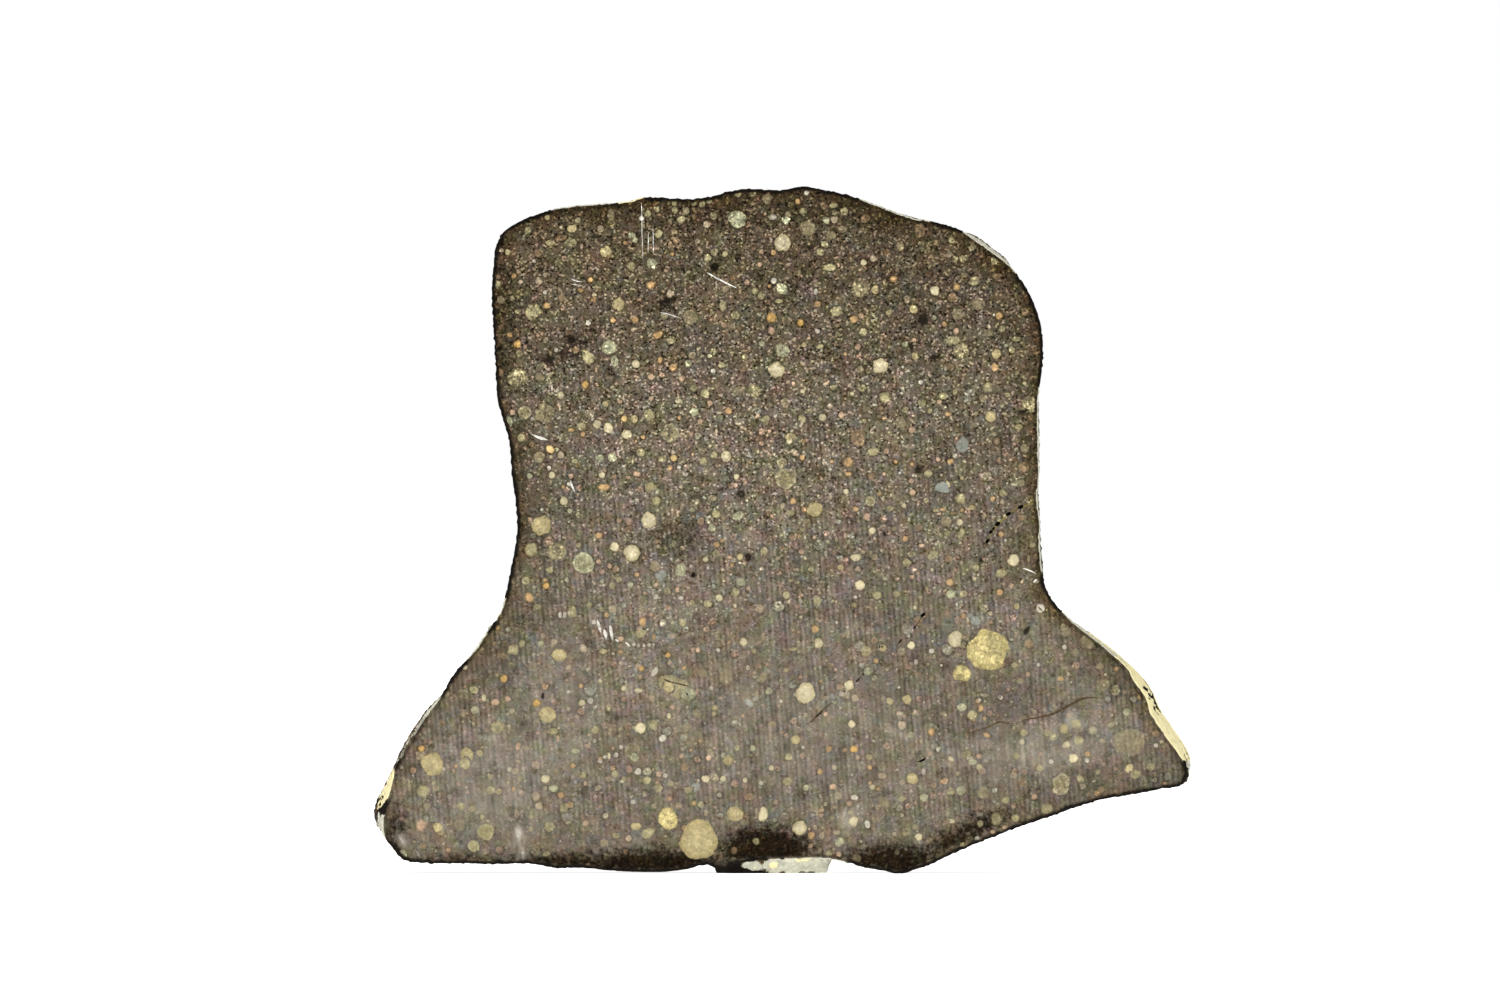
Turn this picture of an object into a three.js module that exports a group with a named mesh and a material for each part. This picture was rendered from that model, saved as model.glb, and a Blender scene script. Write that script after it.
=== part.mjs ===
/**
 * Chondrite meteorite slice, standing on edge.
 *
 * One stone that was sawn through twice: two flat, parallel faces, and between them the natural,
 * weathered rim of the stone with its dents and a small flat foot. The slice is shaped like a squat
 * bell: a block with round shoulders above, and two corners that reach out to the sides below.
 *
 * Millimetres, +Z up. The front sawn face looks along -Y. The origin is under the middle of the slice,
 * in the plane that it stands on.
 */
import * as THREE from 'three';

// ---- Driving dimensions, in millimetres ----

const THICKNESS = 5;            // from sawn face to sawn face
const RIM_FACETS = 260;         // facets round the rim, about 0.55 mm each

// The edge of the front face, from the foot round by the left, the top and the right. Each point is
// [x, z above the resting plane, overhang]: the overhang is how far the rim stands out beyond this
// edge by the time it reaches the back face. It is below zero where the stone narrows to the back.
const FRONT_EDGE = [
  // underside, left of the foot
  [-3.75, 0.36, 0], [-4.6, 0.2, -0.1], [-6.2, 0.06, -0.1], [-8.5, 0.11, -0.3], [-10.1, 0.23, -0.4],
  [-11.4, 0.2, -0.4], [-12.6, 0.39, -0.5], [-14.2, 0.38, -0.6], [-16.0, 0.43, -0.5], [-18.3, 0.48, -0.3],
  // left corner
  [-18.95, 0.62, -0.2], [-19.5, 1.2, 0.0], [-19.97, 1.93, 0.15], [-19.98, 2.75, 0.6],
  [-19.88, 3.45, 0.58], [-19.62, 4.3, 0.4], [-19.42, 5.2, 0.18],
  // left slope, up to the waist
  [-18.98, 6.1, 0.22], [-18.35, 7.15, 0.25], [-17.75, 8.05, 0.28], [-17.12, 8.88, 0.13],
  [-16.55, 9.95, 0.0], [-15.95, 10.6, 0.0], [-15.25, 11.42, 0.1], [-14.7, 12.25, 0.1],
  [-14.25, 12.9, 0.03], [-13.97, 13.55, 0.1], [-13.8, 14.45, 0.0],
  // left side
  [-13.57, 15.6, -0.2], [-13.32, 17.1, -0.3], [-13.38, 18.25, -0.4], [-13.6, 19.9, -0.5],
  [-13.75, 21.6, -0.5], [-14.0, 22.55, -0.4], [-14.3, 23.6, -0.3], [-14.4, 25.2, -0.4],
  [-14.52, 27.2, -0.5], [-14.6, 29.1, -0.6], [-14.5, 30.6, -0.5], [-14.4, 31.4, -0.4],
  // left shoulder and top
  [-14.05, 32.08, -0.3], [-13.4, 32.56, -0.3], [-12.4, 33.0, -0.2], [-11.0, 33.36, 0.04],
  [-9.6, 33.5, 0.05], [-8.3, 33.6, 0.0], [-7.45, 33.68, 0.12], [-7.0, 33.86, 0.0],
  [-5.9, 33.87, -0.2], [-4.7, 33.8, -0.3], [-3.5, 33.95, -0.3], [-2.4, 34.25, -0.3],
  [-1.5, 34.32, -0.4], [-0.2, 34.25, -0.4], [1.1, 34.43, -0.3], [2.2, 34.22, -0.2],
  [3.2, 34.03, -0.1], [4.4, 33.6, 0.08], [5.5, 33.17, 0.08], [6.6, 32.78, 0.16],
  // right shoulder
  [7.4, 32.68, 0.0], [8.9, 32.23, 0.0], [9.45, 31.86, 0.28], [10.3, 31.27, 0.28],
  [11.2, 30.6, 0.25], [11.7, 30.12, 0.04], [12.3, 29.25, 0.02], [12.8, 28.15, -0.1],
  [13.07, 27.0, -0.2], [13.1, 25.7, -0.2], [12.98, 24.6, -0.05],
  // right side
  [12.84, 23.7, 0.1], [12.84, 22.2, 0.13], [12.88, 20.4, 0.1], [12.85, 19.25, 0.1],
  [12.76, 18.78, 0.2], [12.9, 17.9, 0.13], [12.93, 16.3, 0.18], [13.02, 15.3, 0.16],
  // right slope, from the waist down
  [13.2, 14.45, 0.03], [13.6, 13.65, 0.0], [14.2, 12.98, 0.03], [14.95, 12.28, 0.14],
  [15.75, 11.67, 0.18], [16.6, 10.95, 0.22], [17.3, 10.3, 0.25], [17.6, 9.7, 0.48],
  [18.22, 8.83, 0.52], [18.45, 8.05, 0.62], [19.1, 7.05, 0.64], [19.75, 6.17, 0.58],
  // right corner
  [20.08, 5.65, 0.5], [20.34, 5.1, 0.2], [20.3, 4.62, 0.0], [19.95, 4.34, -0.1],
  // underside, right of the foot
  [19.0, 4.16, -0.2], [17.6, 3.9, -0.3], [16.2, 3.67, -0.4], [14.9, 3.3, -0.4], [13.4, 2.78, -0.3],
  [12.0, 2.3, -0.3], [10.2, 1.6, -0.3], [9.0, 1.12, -0.2], [7.9, 0.6, -0.2], [7.1, 0.26, -0.1],
  [6.4, 0.1, 0.0], [5.7, 0.0, 0.0], [5.15, 0.1, 0.0], [4.3, 0.2, 0.0], [3.5, 0.4, 0.0],
  // above the foot
  [2.7, 0.6, 0.0], [1.8, 0.68, 0.0], [0.3, 0.64, 0.0], [-1.2, 0.57, 0.0], [-2.2, 0.42, 0.0],
  [-2.85, 0.2, 0.0], [-3.3, 0.18, 0.0],
];

// Where the underside comes down to the resting plane: the flat foot, set back behind the edge of the
// front face, and the ridge to its right, which runs from face to face. Each is a rounded patch.
const FOOT = { x: -0.5, halfLength: 2.75, y: 0.3, halfDepth: 2.05 };
const RIDGE = { x: 5.75, halfLength: 0.4, y: 0, halfDepth: 3 };
const REST_ROUNDING = 5;        // power of the patch's outline: 2 is an ellipse, more is squarer
const REST_EASE = 0.16;         // width of the slope round a patch, as a share of its half size
const REST_WANDER = { across: 1.3, share: 0.22, seed: 5 };  // how the patch's outline wanders
const UNDERSIDE_TOP = 1.5;      // the foot and the ridge act on the rim below this height only

// The rim's depths behind the front face, as shares of the thickness. They lie closer at the edges.
const RIM_DEPTHS = [0, 0.04, 0.15, 0.28, 0.42, 0.56, 0.7, 0.84, 0.96, 1];
const SWELL_POWER = 0.55;       // the overhang grows fast behind the front face, then slowly

// Weathering of the rim. Dents only go in, so that the outline stays where the edge and the overhang
// put it.
const DENTS = [
  { across: 4.2, depth: 0.75, level: 0.5, seed: 3 },    // broad hollows
  { across: 1.7, depth: 0.45, level: 0.55, seed: 11 },  // knocks and pits
];
const DENT_START = 0.12;        // share of the thickness over which dents fade in from the front edge
const CRUSTED_OVERHANG = 0.12;  // a rim that stands out this far is crusted over, with few dents
const CRUSTED_DENTS = 0.15;     // share of the dents' depth that is left there

// Multipliers with no common factor, which scramble a grid corner and a seed into a random number.
const SCRAMBLE = { i: 127.1, j: 311.7, k: 74.7, seed: 19.3, stretch: 43758.5453 };

// ---- Shape of the rim ----

/** A repeatable random number from 0 to 1 for a corner of the unit grid. */
function gridValue(i, j, k, seed) {
  const angle = i * SCRAMBLE.i + j * SCRAMBLE.j + k * SCRAMBLE.k + seed * SCRAMBLE.seed;
  const value = Math.sin(angle) * SCRAMBLE.stretch;
  return value - Math.floor(value);
}

/** Smooth random relief from 0 to 1 at a point, with bumps about `across` apart. */
function relief(point, across, seed) {
  const cell = point.map((v) => Math.floor(v / across));
  const fade = point.map((v, axis) => THREE.MathUtils.smoothstep(v / across - cell[axis], 0, 1));
  let sum = 0;
  for (let corner = 0; corner < 8; corner += 1) {
    const step = [corner & 1, (corner >> 1) & 1, (corner >> 2) & 1];
    const weight = step.reduce((w, s, axis) => w * (s ? fade[axis] : 1 - fade[axis]), 1);
    sum += weight * gridValue(cell[0] + step[0], cell[1] + step[1], cell[2] + step[2], seed);
  }
  return sum;
}

/** How deep the dents are at a point of the rim. */
function dentDepth(point, depthShare, overhang) {
  const crusted = THREE.MathUtils.smoothstep(overhang, 0, CRUSTED_OVERHANG);
  const strength = THREE.MathUtils.lerp(1, CRUSTED_DENTS, crusted);
  const fade = THREE.MathUtils.smoothstep(depthShare, 0, DENT_START) * strength;
  let depth = 0;
  for (const dent of DENTS) {
    const above = relief(point, dent.across, dent.seed) - dent.level;
    depth += (Math.max(0, above) / (1 - dent.level)) * dent.depth;
  }
  return depth * fade;
}

/** 1 where the underside rests on the plane, 0 away from the rests, with a slope between. */
function restShare(x, y) {
  const wander = (relief([x, y, 0], REST_WANDER.across, REST_WANDER.seed) - 0.5) * REST_WANDER.share;
  const shares = [FOOT, RIDGE].map((rest) => {
    const along = Math.abs((x - rest.x) / rest.halfLength) ** REST_ROUNDING;
    const through = Math.abs((y - rest.y) / rest.halfDepth) ** REST_ROUNDING;
    const outwards = (along + through) ** (1 / REST_ROUNDING) + wander;
    return 1 - THREE.MathUtils.smoothstep(outwards, 1, 1 + REST_EASE);
  });
  return Math.max(...shares);
}

/** The front edge as evenly spaced points { x, z, overhang } with the outward direction at each. */
function sampleFrontEdge() {
  const knots = FRONT_EDGE.map(([x, z, overhang]) => new THREE.Vector3(x, z, overhang));
  const curve = new THREE.CatmullRomCurve3(knots, true, 'centripetal');
  const points = curve.getSpacedPoints(RIM_FACETS).slice(0, RIM_FACETS);
  return points.map((point, i) => {
    const before = points[(i + RIM_FACETS - 1) % RIM_FACETS];
    const after = points[(i + 1) % RIM_FACETS];
    const along = new THREE.Vector2(after.x - before.x, after.y - before.y).normalize();
    return { x: point.x, z: point.y, overhang: point.z, out: new THREE.Vector2(-along.y, along.x) };
  });
}

/** One point of the rim, at a share of the thickness behind the front face. */
function rimPoint(edge, depthShare) {
  const y = (depthShare - 0.5) * THICKNESS;
  const swell = edge.overhang * Math.pow(depthShare, SWELL_POWER);
  const reach = swell - dentDepth([edge.x, y, edge.z], depthShare, edge.overhang);
  const x = edge.x + edge.out.x * reach;
  const z = edge.z + edge.out.y * reach;
  if (edge.z > UNDERSIDE_TOP) {
    return new THREE.Vector3(x, y, z);
  }
  const rest = restShare(edge.x, y);
  return new THREE.Vector3(THREE.MathUtils.lerp(x, edge.x, rest), y, Math.max(0, z * (1 - rest)));
}

// ---- Geometry ----

/** Triangles that fill a flat outline of rim points, facing along -Y, or along +Y if `back`. */
function capTriangles(ring, firstIndex, back) {
  const contour = ring.map((point) => new THREE.Vector2(point.x, point.z));
  const triangles = THREE.ShapeUtils.triangulateShape(contour, []);
  return triangles.flatMap(([a, b, c]) => {
    const counterClockwise = THREE.ShapeUtils.area([contour[a], contour[b], contour[c]]) > 0;
    const keep = counterClockwise !== back;
    return (keep ? [a, b, c] : [a, c, b]).map((corner) => corner + firstIndex);
  });
}

/** The whole slice as one closed body: the rim's bands and the two sawn faces. */
function sliceGeometry() {
  const edge = sampleFrontEdge();
  const rings = RIM_DEPTHS.map((depthShare) => edge.map((point) => rimPoint(point, depthShare)));
  const indices = [];
  for (let ring = 0; ring + 1 < rings.length; ring += 1) {
    for (let i = 0; i < RIM_FACETS; i += 1) {
      const next = (i + 1) % RIM_FACETS;
      const front = [ring * RIM_FACETS + i, ring * RIM_FACETS + next];
      const behind = [front[0] + RIM_FACETS, front[1] + RIM_FACETS];
      indices.push(front[0], front[1], behind[1], front[0], behind[1], behind[0]);
    }
  }
  const lastRing = rings.length - 1;
  indices.push(...capTriangles(rings[0], 0, false));
  indices.push(...capTriangles(rings[lastRing], lastRing * RIM_FACETS, true));

  const geometry = new THREE.BufferGeometry();
  const positions = rings.flat().flatMap((point) => point.toArray());
  geometry.setAttribute('position', new THREE.Float32BufferAttribute(positions, 3));
  geometry.setIndex(indices);
  return geometry;
}

/** Puts the origin under the middle of the body, at its lowest point. */
function standOnOrigin(geometry) {
  geometry.computeBoundingBox();
  const { min, max } = geometry.boundingBox;
  geometry.translate(-(min.x + max.x) / 2, -(min.y + max.y) / 2, -min.z);
  return geometry;
}

// ---- The object ----

const stone = new THREE.MeshStandardMaterial({ color: 0x6f6459, roughness: 0.5, metalness: 0 });

const slice = new THREE.Mesh(standOnOrigin(sliceGeometry()), stone);
slice.name = 'meteorite_slice';
slice.geometry.computeVertexNormals();

const meteorite = new THREE.Group();
meteorite.add(slice);

export default meteorite;
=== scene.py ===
"""Looks of the chondrite meteorite slice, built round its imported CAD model.

The slice is one closed mesh: a weathered rim that follows the CAD solid's rim, and two sawn faces whose
triangles follow the grains, pits and cracks that the saw cut through. A stage with a pale floor, soft
light and a camera stands round it.
"""

import math
from collections import namedtuple

import bpy
import numpy as np
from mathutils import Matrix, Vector, noise
from mathutils.geometry import delaunay_2d_cdt


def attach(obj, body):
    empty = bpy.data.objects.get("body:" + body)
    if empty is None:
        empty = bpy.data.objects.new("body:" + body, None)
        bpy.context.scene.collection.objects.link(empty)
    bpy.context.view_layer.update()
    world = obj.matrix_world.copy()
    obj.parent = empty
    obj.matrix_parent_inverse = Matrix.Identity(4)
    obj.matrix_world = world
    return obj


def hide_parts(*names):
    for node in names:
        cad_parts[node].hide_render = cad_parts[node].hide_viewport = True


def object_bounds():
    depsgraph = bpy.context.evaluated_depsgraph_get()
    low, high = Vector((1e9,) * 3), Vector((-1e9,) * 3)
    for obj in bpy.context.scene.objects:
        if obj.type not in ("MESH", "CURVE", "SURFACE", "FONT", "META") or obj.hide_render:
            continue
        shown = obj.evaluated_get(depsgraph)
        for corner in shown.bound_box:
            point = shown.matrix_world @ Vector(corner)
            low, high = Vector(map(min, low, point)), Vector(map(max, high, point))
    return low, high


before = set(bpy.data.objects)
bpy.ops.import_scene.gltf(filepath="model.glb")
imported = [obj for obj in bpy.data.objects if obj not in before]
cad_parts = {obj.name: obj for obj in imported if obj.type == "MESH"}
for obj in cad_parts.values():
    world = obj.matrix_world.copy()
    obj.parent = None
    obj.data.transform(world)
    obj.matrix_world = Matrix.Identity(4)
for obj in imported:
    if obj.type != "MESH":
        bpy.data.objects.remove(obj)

bl_info = {
    "name": "Chondrite meteorite slice",
    "version": (1, 0, 0),
    "blender": (4, 5, 0),
    "location": "3D View > Sidebar > Meteorite",
    "description": "Dresses the packed meteorite slice and builds its stage",
    "category": "Object",
}

CAD_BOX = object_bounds()
CAD_NODE = "meteorite_slice"
MM = 0.001

# ---- What the saw cut through ----

# A kind of grain: its colour on a screen, how fully it covers the matrix, how mottled it is inside, how much
# lighter (above zero) or darker (below zero) its outer ring is, and how soft its edge is.
Kind = namedtuple("Kind", "red green blue cover mottle ring soft")
KINDS = {
    "cream": Kind(209, 197, 161, 0.95, 0.5, -0.25, 0.25),
    "straw": Kind(200, 185, 128, 0.92, 1.3, -0.15, 0.3),
    "yellow": Kind(186, 171, 127, 0.9, 0.7, -0.2, 0.25),
    "olive": Kind(170, 161, 121, 0.75, 1.0, -0.2, 0.4),
    "speckled": Kind(152, 142, 107, 0.8, 1.6, -0.1, 0.5),
    "shell": Kind(158, 154, 118, 0.85, 1.1, 0.35, 0.2),
    "rimmed": Kind(152, 143, 103, 0.85, 0.8, 0.3, 0.25),
    "ringed": Kind(140, 130, 96, 0.8, 1.2, 0.6, 0.25),
    "dull": Kind(146, 134, 103, 0.55, 0.9, 0.1, 0.4),
    "green": Kind(172, 171, 138, 0.82, 1.1, -0.15, 0.3),
    "blue": Kind(152, 156, 146, 0.85, 0.4, -0.2, 0.25),
    "white": Kind(202, 194, 174, 0.9, 0.7, 0, 0.4),
    "tan": Kind(184, 166, 137, 0.65, 0.8, 0, 0.5),
    "orange": Kind(202, 165, 115, 0.85, 0.7, -0.5, 0.6),
    "salmon": Kind(206, 172, 142, 0.75, 0.8, -0.3, 0.6),
    "brown": Kind(146, 121, 91, 0.6, 1.1, -0.1, 0.4),
    "gold": Kind(230, 199, 138, 0.95, 0.5, -0.4, 0.4),
    "pink": Kind(228, 193, 162, 0.9, 0.5, -0.3, 0.4),
    "amber": Kind(202, 164, 100, 0.95, 0.5, -0.55, 0.4),
    "smear": Kind(188, 184, 170, 0.6, 1.0, 0, 1.0),
    "black": Kind(30, 25, 17, 0.97, 0.3, 0, 0.5),
    "shade": Kind(48, 43, 34, 0.55, 0.6, 0, 1.0),
    # The pit's and the crack's near-black is painted shade in their hollows.
    "pit": Kind(20, 16, 11, 0.95, 0.2, 0, 0.3),
    "stain line": Kind(74, 57, 32, 0.8, 0.8, 0, 0.6),
    "ochre line": Kind(140, 126, 66, 0.9, 0.6, 0, 0.6),
    "crack": Kind(16, 12, 8, 1.0, 0.1, 0, 0.1),
    # The scratch's near-white is a painted glint on its saw steps.
    "scratch": Kind(238, 234, 222, 0.95, 0.7, 0, 0.4),
}
BRIGHT_KINDS = ("cream", "white", "amber", "gold", "pink")
UNEVEN_KINDS = ("pit", "black", "smear")
SUNK_KINDS = ("pit", "crack")
FRONT_ONLY_KINDS = ("pit", "black", "shade")
SCALLOPS = 0.09                 # how far a grain's outline goes in and out between its crystals
LOBES, UNEVEN_LOBES = 0.25, 0.5     # how far it goes in and out in broad lobes, and for uneven kinds
LOBE_CIRCLE, SCALLOP_SPACING = 1.3, 0.3     # the lobes are noise read off round a circle of this radius
TONE_SPREAD = 0.2               # how much grains of one kind differ in brightness
EVEN_RADII, EVEN_SHARE = (0.25, 0.5), 0.8   # between these radii they come to differ less, by this share
SEED_STEP = 0.618               # one seed's share of a full turn, so that near seeds differ most
# Small grains are fainter, and more so low down: between which radii and heights, and by how much.
FAINT_RADII, FAINT_HEIGHTS = (0.08, 0.26), (10, 26)
FAINTER, FAINTER_LOW, BRIGHT_FAINTER_LOW = 0.12, 0.38, 0.15
NEVER_FAINT_KINDS = ("black", "pit")

# The front face's grains, counted in steps of 0.05 mm to the right of and down from a corner of the face's
# field: (right, down, radius), and for a long one its stretch and its turn in degrees.
STEP = 0.05
FIELD_CORNER = (-39.1, 43.68)
GRAINS = {
    "cream": [
        (783, 243, 8.5), (864, 262.5, 3.2), (776.5, 370, 7.8), (880, 366, 7.8, 1.2), (627, 434.5, 5),
        (561, 395, 3.7), (636, 364, 4), (678.5, 401, 2.8, 1.6), (602, 475, 3), (552, 475, 3.5), (597, 424, 4),
        (608.5, 428, 5, 0.8), (649, 520.5, 8), (632, 553, 8.5), (614.5, 547, 4.8), (564, 501, 4.2),
        (561, 227.5, 1.7), (802.5, 391, 2), (822.5, 417.5, 4), (726, 456.5, 5.7, 0.77), (934.5, 291, 4.7),
        (911, 645.5, 3.8), (849, 685, 5.2), (743.5, 642, 4), (851.5, 724, 3.5), (1013, 560.5, 6),
        (955.5, 639, 8, 0.88), (872.5, 530.5, 3.7), (856, 557.5, 4.5, 1.25), (860, 585, 5), (719, 597.5, 3.5),
        (960, 522, 3.5), (465, 667, 2.7), (484, 698, 3, 0.7), (582, 703, 3.2), (624, 688.5, 2.7),
        (638.5, 690.5, 3.2, 1.6), (640.5, 728, 5.3), (915, 607.5, 2), (974.5, 579, 1.7), (932, 569.5, 1.7),
        (990.3, 613.5, 2), (710, 446, 1.5), (594.5, 295, 2.2), (551, 457, 2), (789, 441, 3),
        (1024.5, 383, 1.7), (600, 681, 2.3), (735, 605.5, 2), (945.5, 715, 1.5), (1105, 685, 2),
        (846, 491.5, 2.7), (904, 505.5, 2.5), (1005, 516.5, 2), (545.5, 779, 4.5), (705.5, 779, 3.8, 1.2),
        (723, 779, 3), (745, 780.3, 2.6), (763, 814.5, 6, 0.6), (771.3, 768, 2.7), (799.3, 828, 7.1),
        (853.5, 821.5, 5), (872.5, 787, 2.8), (919, 837, 3.6), (951, 759, 2.6, 1.6, -50),
        (951.5, 821, 2.8, 1.6), (1073.5, 758, 5), (1067, 744.5, 3.4, 1.3), (1066.5, 783, 2.6, 0.35),
        (1055.5, 790.5, 3), (1022, 742, 2.8), (669, 716, 2.5, 0.6), (948, 484, 2.4, 2.2, -60),
        (805, 558, 2, 1.5, -45), (609, 756, 2.4, 0.5), (819, 643, 5), (736.5, 477, 2.7), (852, 393.5, 2),
        (705.5, 559.5, 2.7), (805, 693, 11, 1.2, 80),
    ],
    "straw": [
        (988, 650, 20.8), (962, 673.5, 9), (668.5, 818.5, 10.6, 0.85),
    ],
    "yellow": [
        (907, 699.5, 4.7), (890, 701, 3.5), (990.5, 416.5, 6), (1019, 427, 3.5, 1.33), (740, 557, 3.5),
        (603, 651.5, 3.2, 1.6), (728, 761, 5.3), (795.5, 740, 4.5), (715, 708, 3), (714, 713.5, 2.5),
        (883, 648, 4), (962, 478, 2), (1016.5, 606, 2.8), (1064, 729, 4.5), (786, 670, 2.5), (572, 229, 4.3),
        (889, 312.5, 3), (913.5, 309, 4.2), (854, 605, 2.8), (840.5, 567.5, 3.5), (996.5, 353.5, 5),
        (972, 507.5, 3, 1.4), (432.5, 764.5, 11.5), (438, 827.5, 5.2), (441, 832.5, 3), (668.5, 686.5, 6),
        (912.5, 778.5, 6.3), (1129.5, 768.5, 4.5), (636, 826.5, 4.6, 1.3), (735, 814, 8.2, 1.15),
        (634.5, 419, 4), (915, 355.5, 3.5), (547.5, 217, 3), (804, 345, 2.7), (791, 437, 5, 1.2),
        (605.5, 404, 3), (480, 753, 3.5), (467, 755, 7.4, 0.9), (606, 252, 5.5), (935.5, 510.5, 2.3, 1.8),
        (791, 580.5, 2, 1.7), (875, 290, 4.2), (664.5, 434, 3.6), (618.5, 304, 6.5), (541, 526, 10.2),
        (815, 509.5, 8), (547.5, 714.5, 8.5, 1.12), (559, 655, 7.2, 1.23), (698.5, 840, 19.5, 1.2, 42),
    ],
    "olive": [
        (752.5, 193, 4), (738, 194, 3.5), (834, 205.5, 3.7, 1.5), (803, 211, 4, 1.3),
        (825, 244.5, 4, 1.3, -35), (820, 252, 4), (779, 301, 3.4, 1.8), (836, 311.5, 5.5, 1.2), (761, 296, 4),
        (755, 291, 4), (863, 332, 4.5), (900.5, 246, 4), (951.5, 240, 3.5), (974.5, 281, 5.5, 1.2),
        (952, 341, 6.3, 1.6), (1012, 349.5, 3.8), (1002, 329, 4), (1016, 339, 4, 1.7), (995, 260, 4.5, 0.8),
        (570, 243.5, 5.8, 1.5), (588, 357, 7.3, 1.5, -60), (496.5, 284, 5), (517, 311.5, 2.7), (508, 252, 3),
        (528, 231, 3.5), (519.5, 353, 4), (550, 243, 4, 1.7), (675, 210.5, 3.5), (681, 220, 4),
        (674.5, 203, 3), (657, 209, 3.5), (648, 214, 3.5), (713.5, 216, 4), (709, 200, 3.5), (702, 204, 3),
        (694, 203, 3), (631, 266, 4.5), (659, 234, 4.4, 0.8), (664, 316, 4), (723, 306, 4.8, 0.67),
        (735, 315, 4.5), (708, 258, 4), (725, 254, 3), (509, 434, 4.5, 0.8), (521, 437.5, 4.5),
        (582, 426.5, 4.5), (649, 414.5, 6), (621, 411, 3.5), (671, 340, 4.5, 1.25), (640.5, 452, 4.5),
        (575, 461, 3.2, 1.6), (663, 459, 4, 1.3), (651, 487, 6.7, 1.2), (703.5, 461, 4.5), (714, 455, 4),
        (705, 393.5, 5), (693.5, 388, 4), (802, 418.5, 4.2), (832.5, 387.5, 3), (820, 399, 2.5),
        (864, 421, 2.5), (745, 357, 3), (873, 452, 5, 1.5), (820, 346.5, 3.2, 1.6), (766, 420, 4.5, 0.8),
        (721.5, 365, 3.5, 1.3), (988.5, 387, 5), (976.5, 413.5, 2.5), (943, 396, 4, 1.3), (955, 392, 3),
        (885, 397.5, 6), (922, 403, 4), (1007, 395, 3), (928.5, 473.5, 4.5), (531.5, 549, 7, 0.87),
        (525.5, 580.5, 4.5), (619, 579.5, 3.3), (612.5, 585.5, 3.8), (550, 570, 3.8), (667, 590.5, 4),
        (572, 611.5, 6, 0.7), (656.5, 501, 5), (537.5, 607, 3.9, 1.7), (578.5, 545, 2.7), (589.5, 605, 3),
        (602, 609, 3), (683, 623, 4), (640.5, 633, 5.5, 1.2), (716, 514, 4.5), (764, 551, 4, 0.8),
        (790, 513, 4, 1.7), (863, 552, 2), (811, 569.5, 3), (817, 601, 5, 0.67), (786.5, 595, 4.2),
        (735.5, 592.5, 4.5), (708, 604, 4.5), (691.5, 603, 3), (797, 582.5, 2.3, 1.8), (961, 498.5, 5.8),
        (890, 508.5, 3.5), (926, 500.5, 2.7), (947.5, 533.5, 3.5), (961, 534, 4.6, 1.7, 70),
        (932.5, 555, 5.1, 2.1, 32), (907, 563, 4.5), (896.5, 593.5, 4, 1.3), (963.5, 594, 4),
        (1001.5, 573, 5.7, 1.3), (976, 568, 3.5, 0.75), (1002.5, 493, 4), (1033, 545, 3.5, 1.3),
        (894, 529, 2.5), (927, 588.5, 2.3, 0.6), (1028.5, 558, 2.6, 0.42), (513.5, 649.5, 6),
        (497, 727.5, 7, 1.15), (464.5, 763.5, 6), (595, 730, 4.4), (553, 731, 4.2, 1.4),
        (474, 689.5, 4.5, 1.25), (481, 649, 2.5, 1.5), (522, 644, 3.5, 0.75), (621, 729, 2.5, 1.5),
        (610, 729, 2.5, 1.5), (972, 715.5, 5.5), (1014.5, 665, 3.5), (1020, 681, 3.8), (1126.5, 665, 3),
        (1076, 724, 5.5), (1024, 733, 4), (1048, 733, 4), (866, 651, 6), (794, 649, 3.2, 2.5, 5),
        (754, 651, 3), (772, 724.5, 4), (789, 757, 4), (737, 748, 3.5), (423.5, 791, 7.2), (434, 783, 2.6),
        (427, 806, 3.6), (461, 806, 4.6), (472, 809, 4), (482, 817, 2.6, 0.7), (549.5, 826.5, 5.4),
        (546.5, 854, 3.6, 1.6, 20), (491, 790, 4.5), (499, 791, 3.4), (520, 779, 3), (531, 829, 3),
        (564, 807.5, 5), (583, 775, 3.6), (615, 774, 3.8, 0.8), (624, 779, 3), (647, 780, 4.4),
        (658.5, 788, 4.6, 0.85), (670.5, 783.5, 3.2), (688.5, 790, 4), (653.5, 725, 5.2, 0.72), (609, 707, 3),
        (628, 734, 2), (663, 756, 2.6), (701, 804.5, 3.6), (616, 835.5, 3.6, 1.6, -20), (756, 841.5, 3.6),
        (787.5, 781.5, 4.6), (832, 818, 3), (850, 812.5, 3), (828.5, 854, 3.8), (869, 757, 3.5),
        (902, 798.5, 3.6), (950.5, 791, 4.4), (957.5, 773.5, 2.6), (905.5, 833.5, 3.2, 1.5),
        (967, 754, 4.4, 1.3), (979.5, 767, 3.6), (1016.5, 755.5, 4), (1053, 737.5, 4), (1078.5, 740.5, 5.6),
        (1151, 767, 4.4), (1080, 779, 4), (1006, 800, 4), (996.2, 818.5, 6.4, 0.8), (1015.7, 817.5, 4.1),
        (980.3, 823.5, 3.6), (962.5, 845, 3), (1098, 772, 3), (676, 687.5, 14, 1.8, -25), (1040, 768, 4),
        (877, 595, 4.5, 1.25), (844.5, 211, 4.3), (1135.5, 774.5, 5), (829, 267.5, 5.3, 1.75),
        (648, 833, 6.8, 1.5, 35), (1047, 809, 6.3, 1.1), (532.5, 312, 8.5),
    ],
    "speckled": [
        (860.5, 288.5, 9), (754, 391, 8), (961.5, 350.5, 9), (1030, 404, 9), (545, 413, 10), (518, 377, 10.5),
        (963.5, 259, 4.8), (955, 259, 3.5), (557, 551.5, 10), (809, 411, 3.9, 1.7), (862, 388, 4),
        (929.5, 411, 3.3), (905, 410, 4), (714, 351.5, 3.7),
    ],
    "green": [
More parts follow.
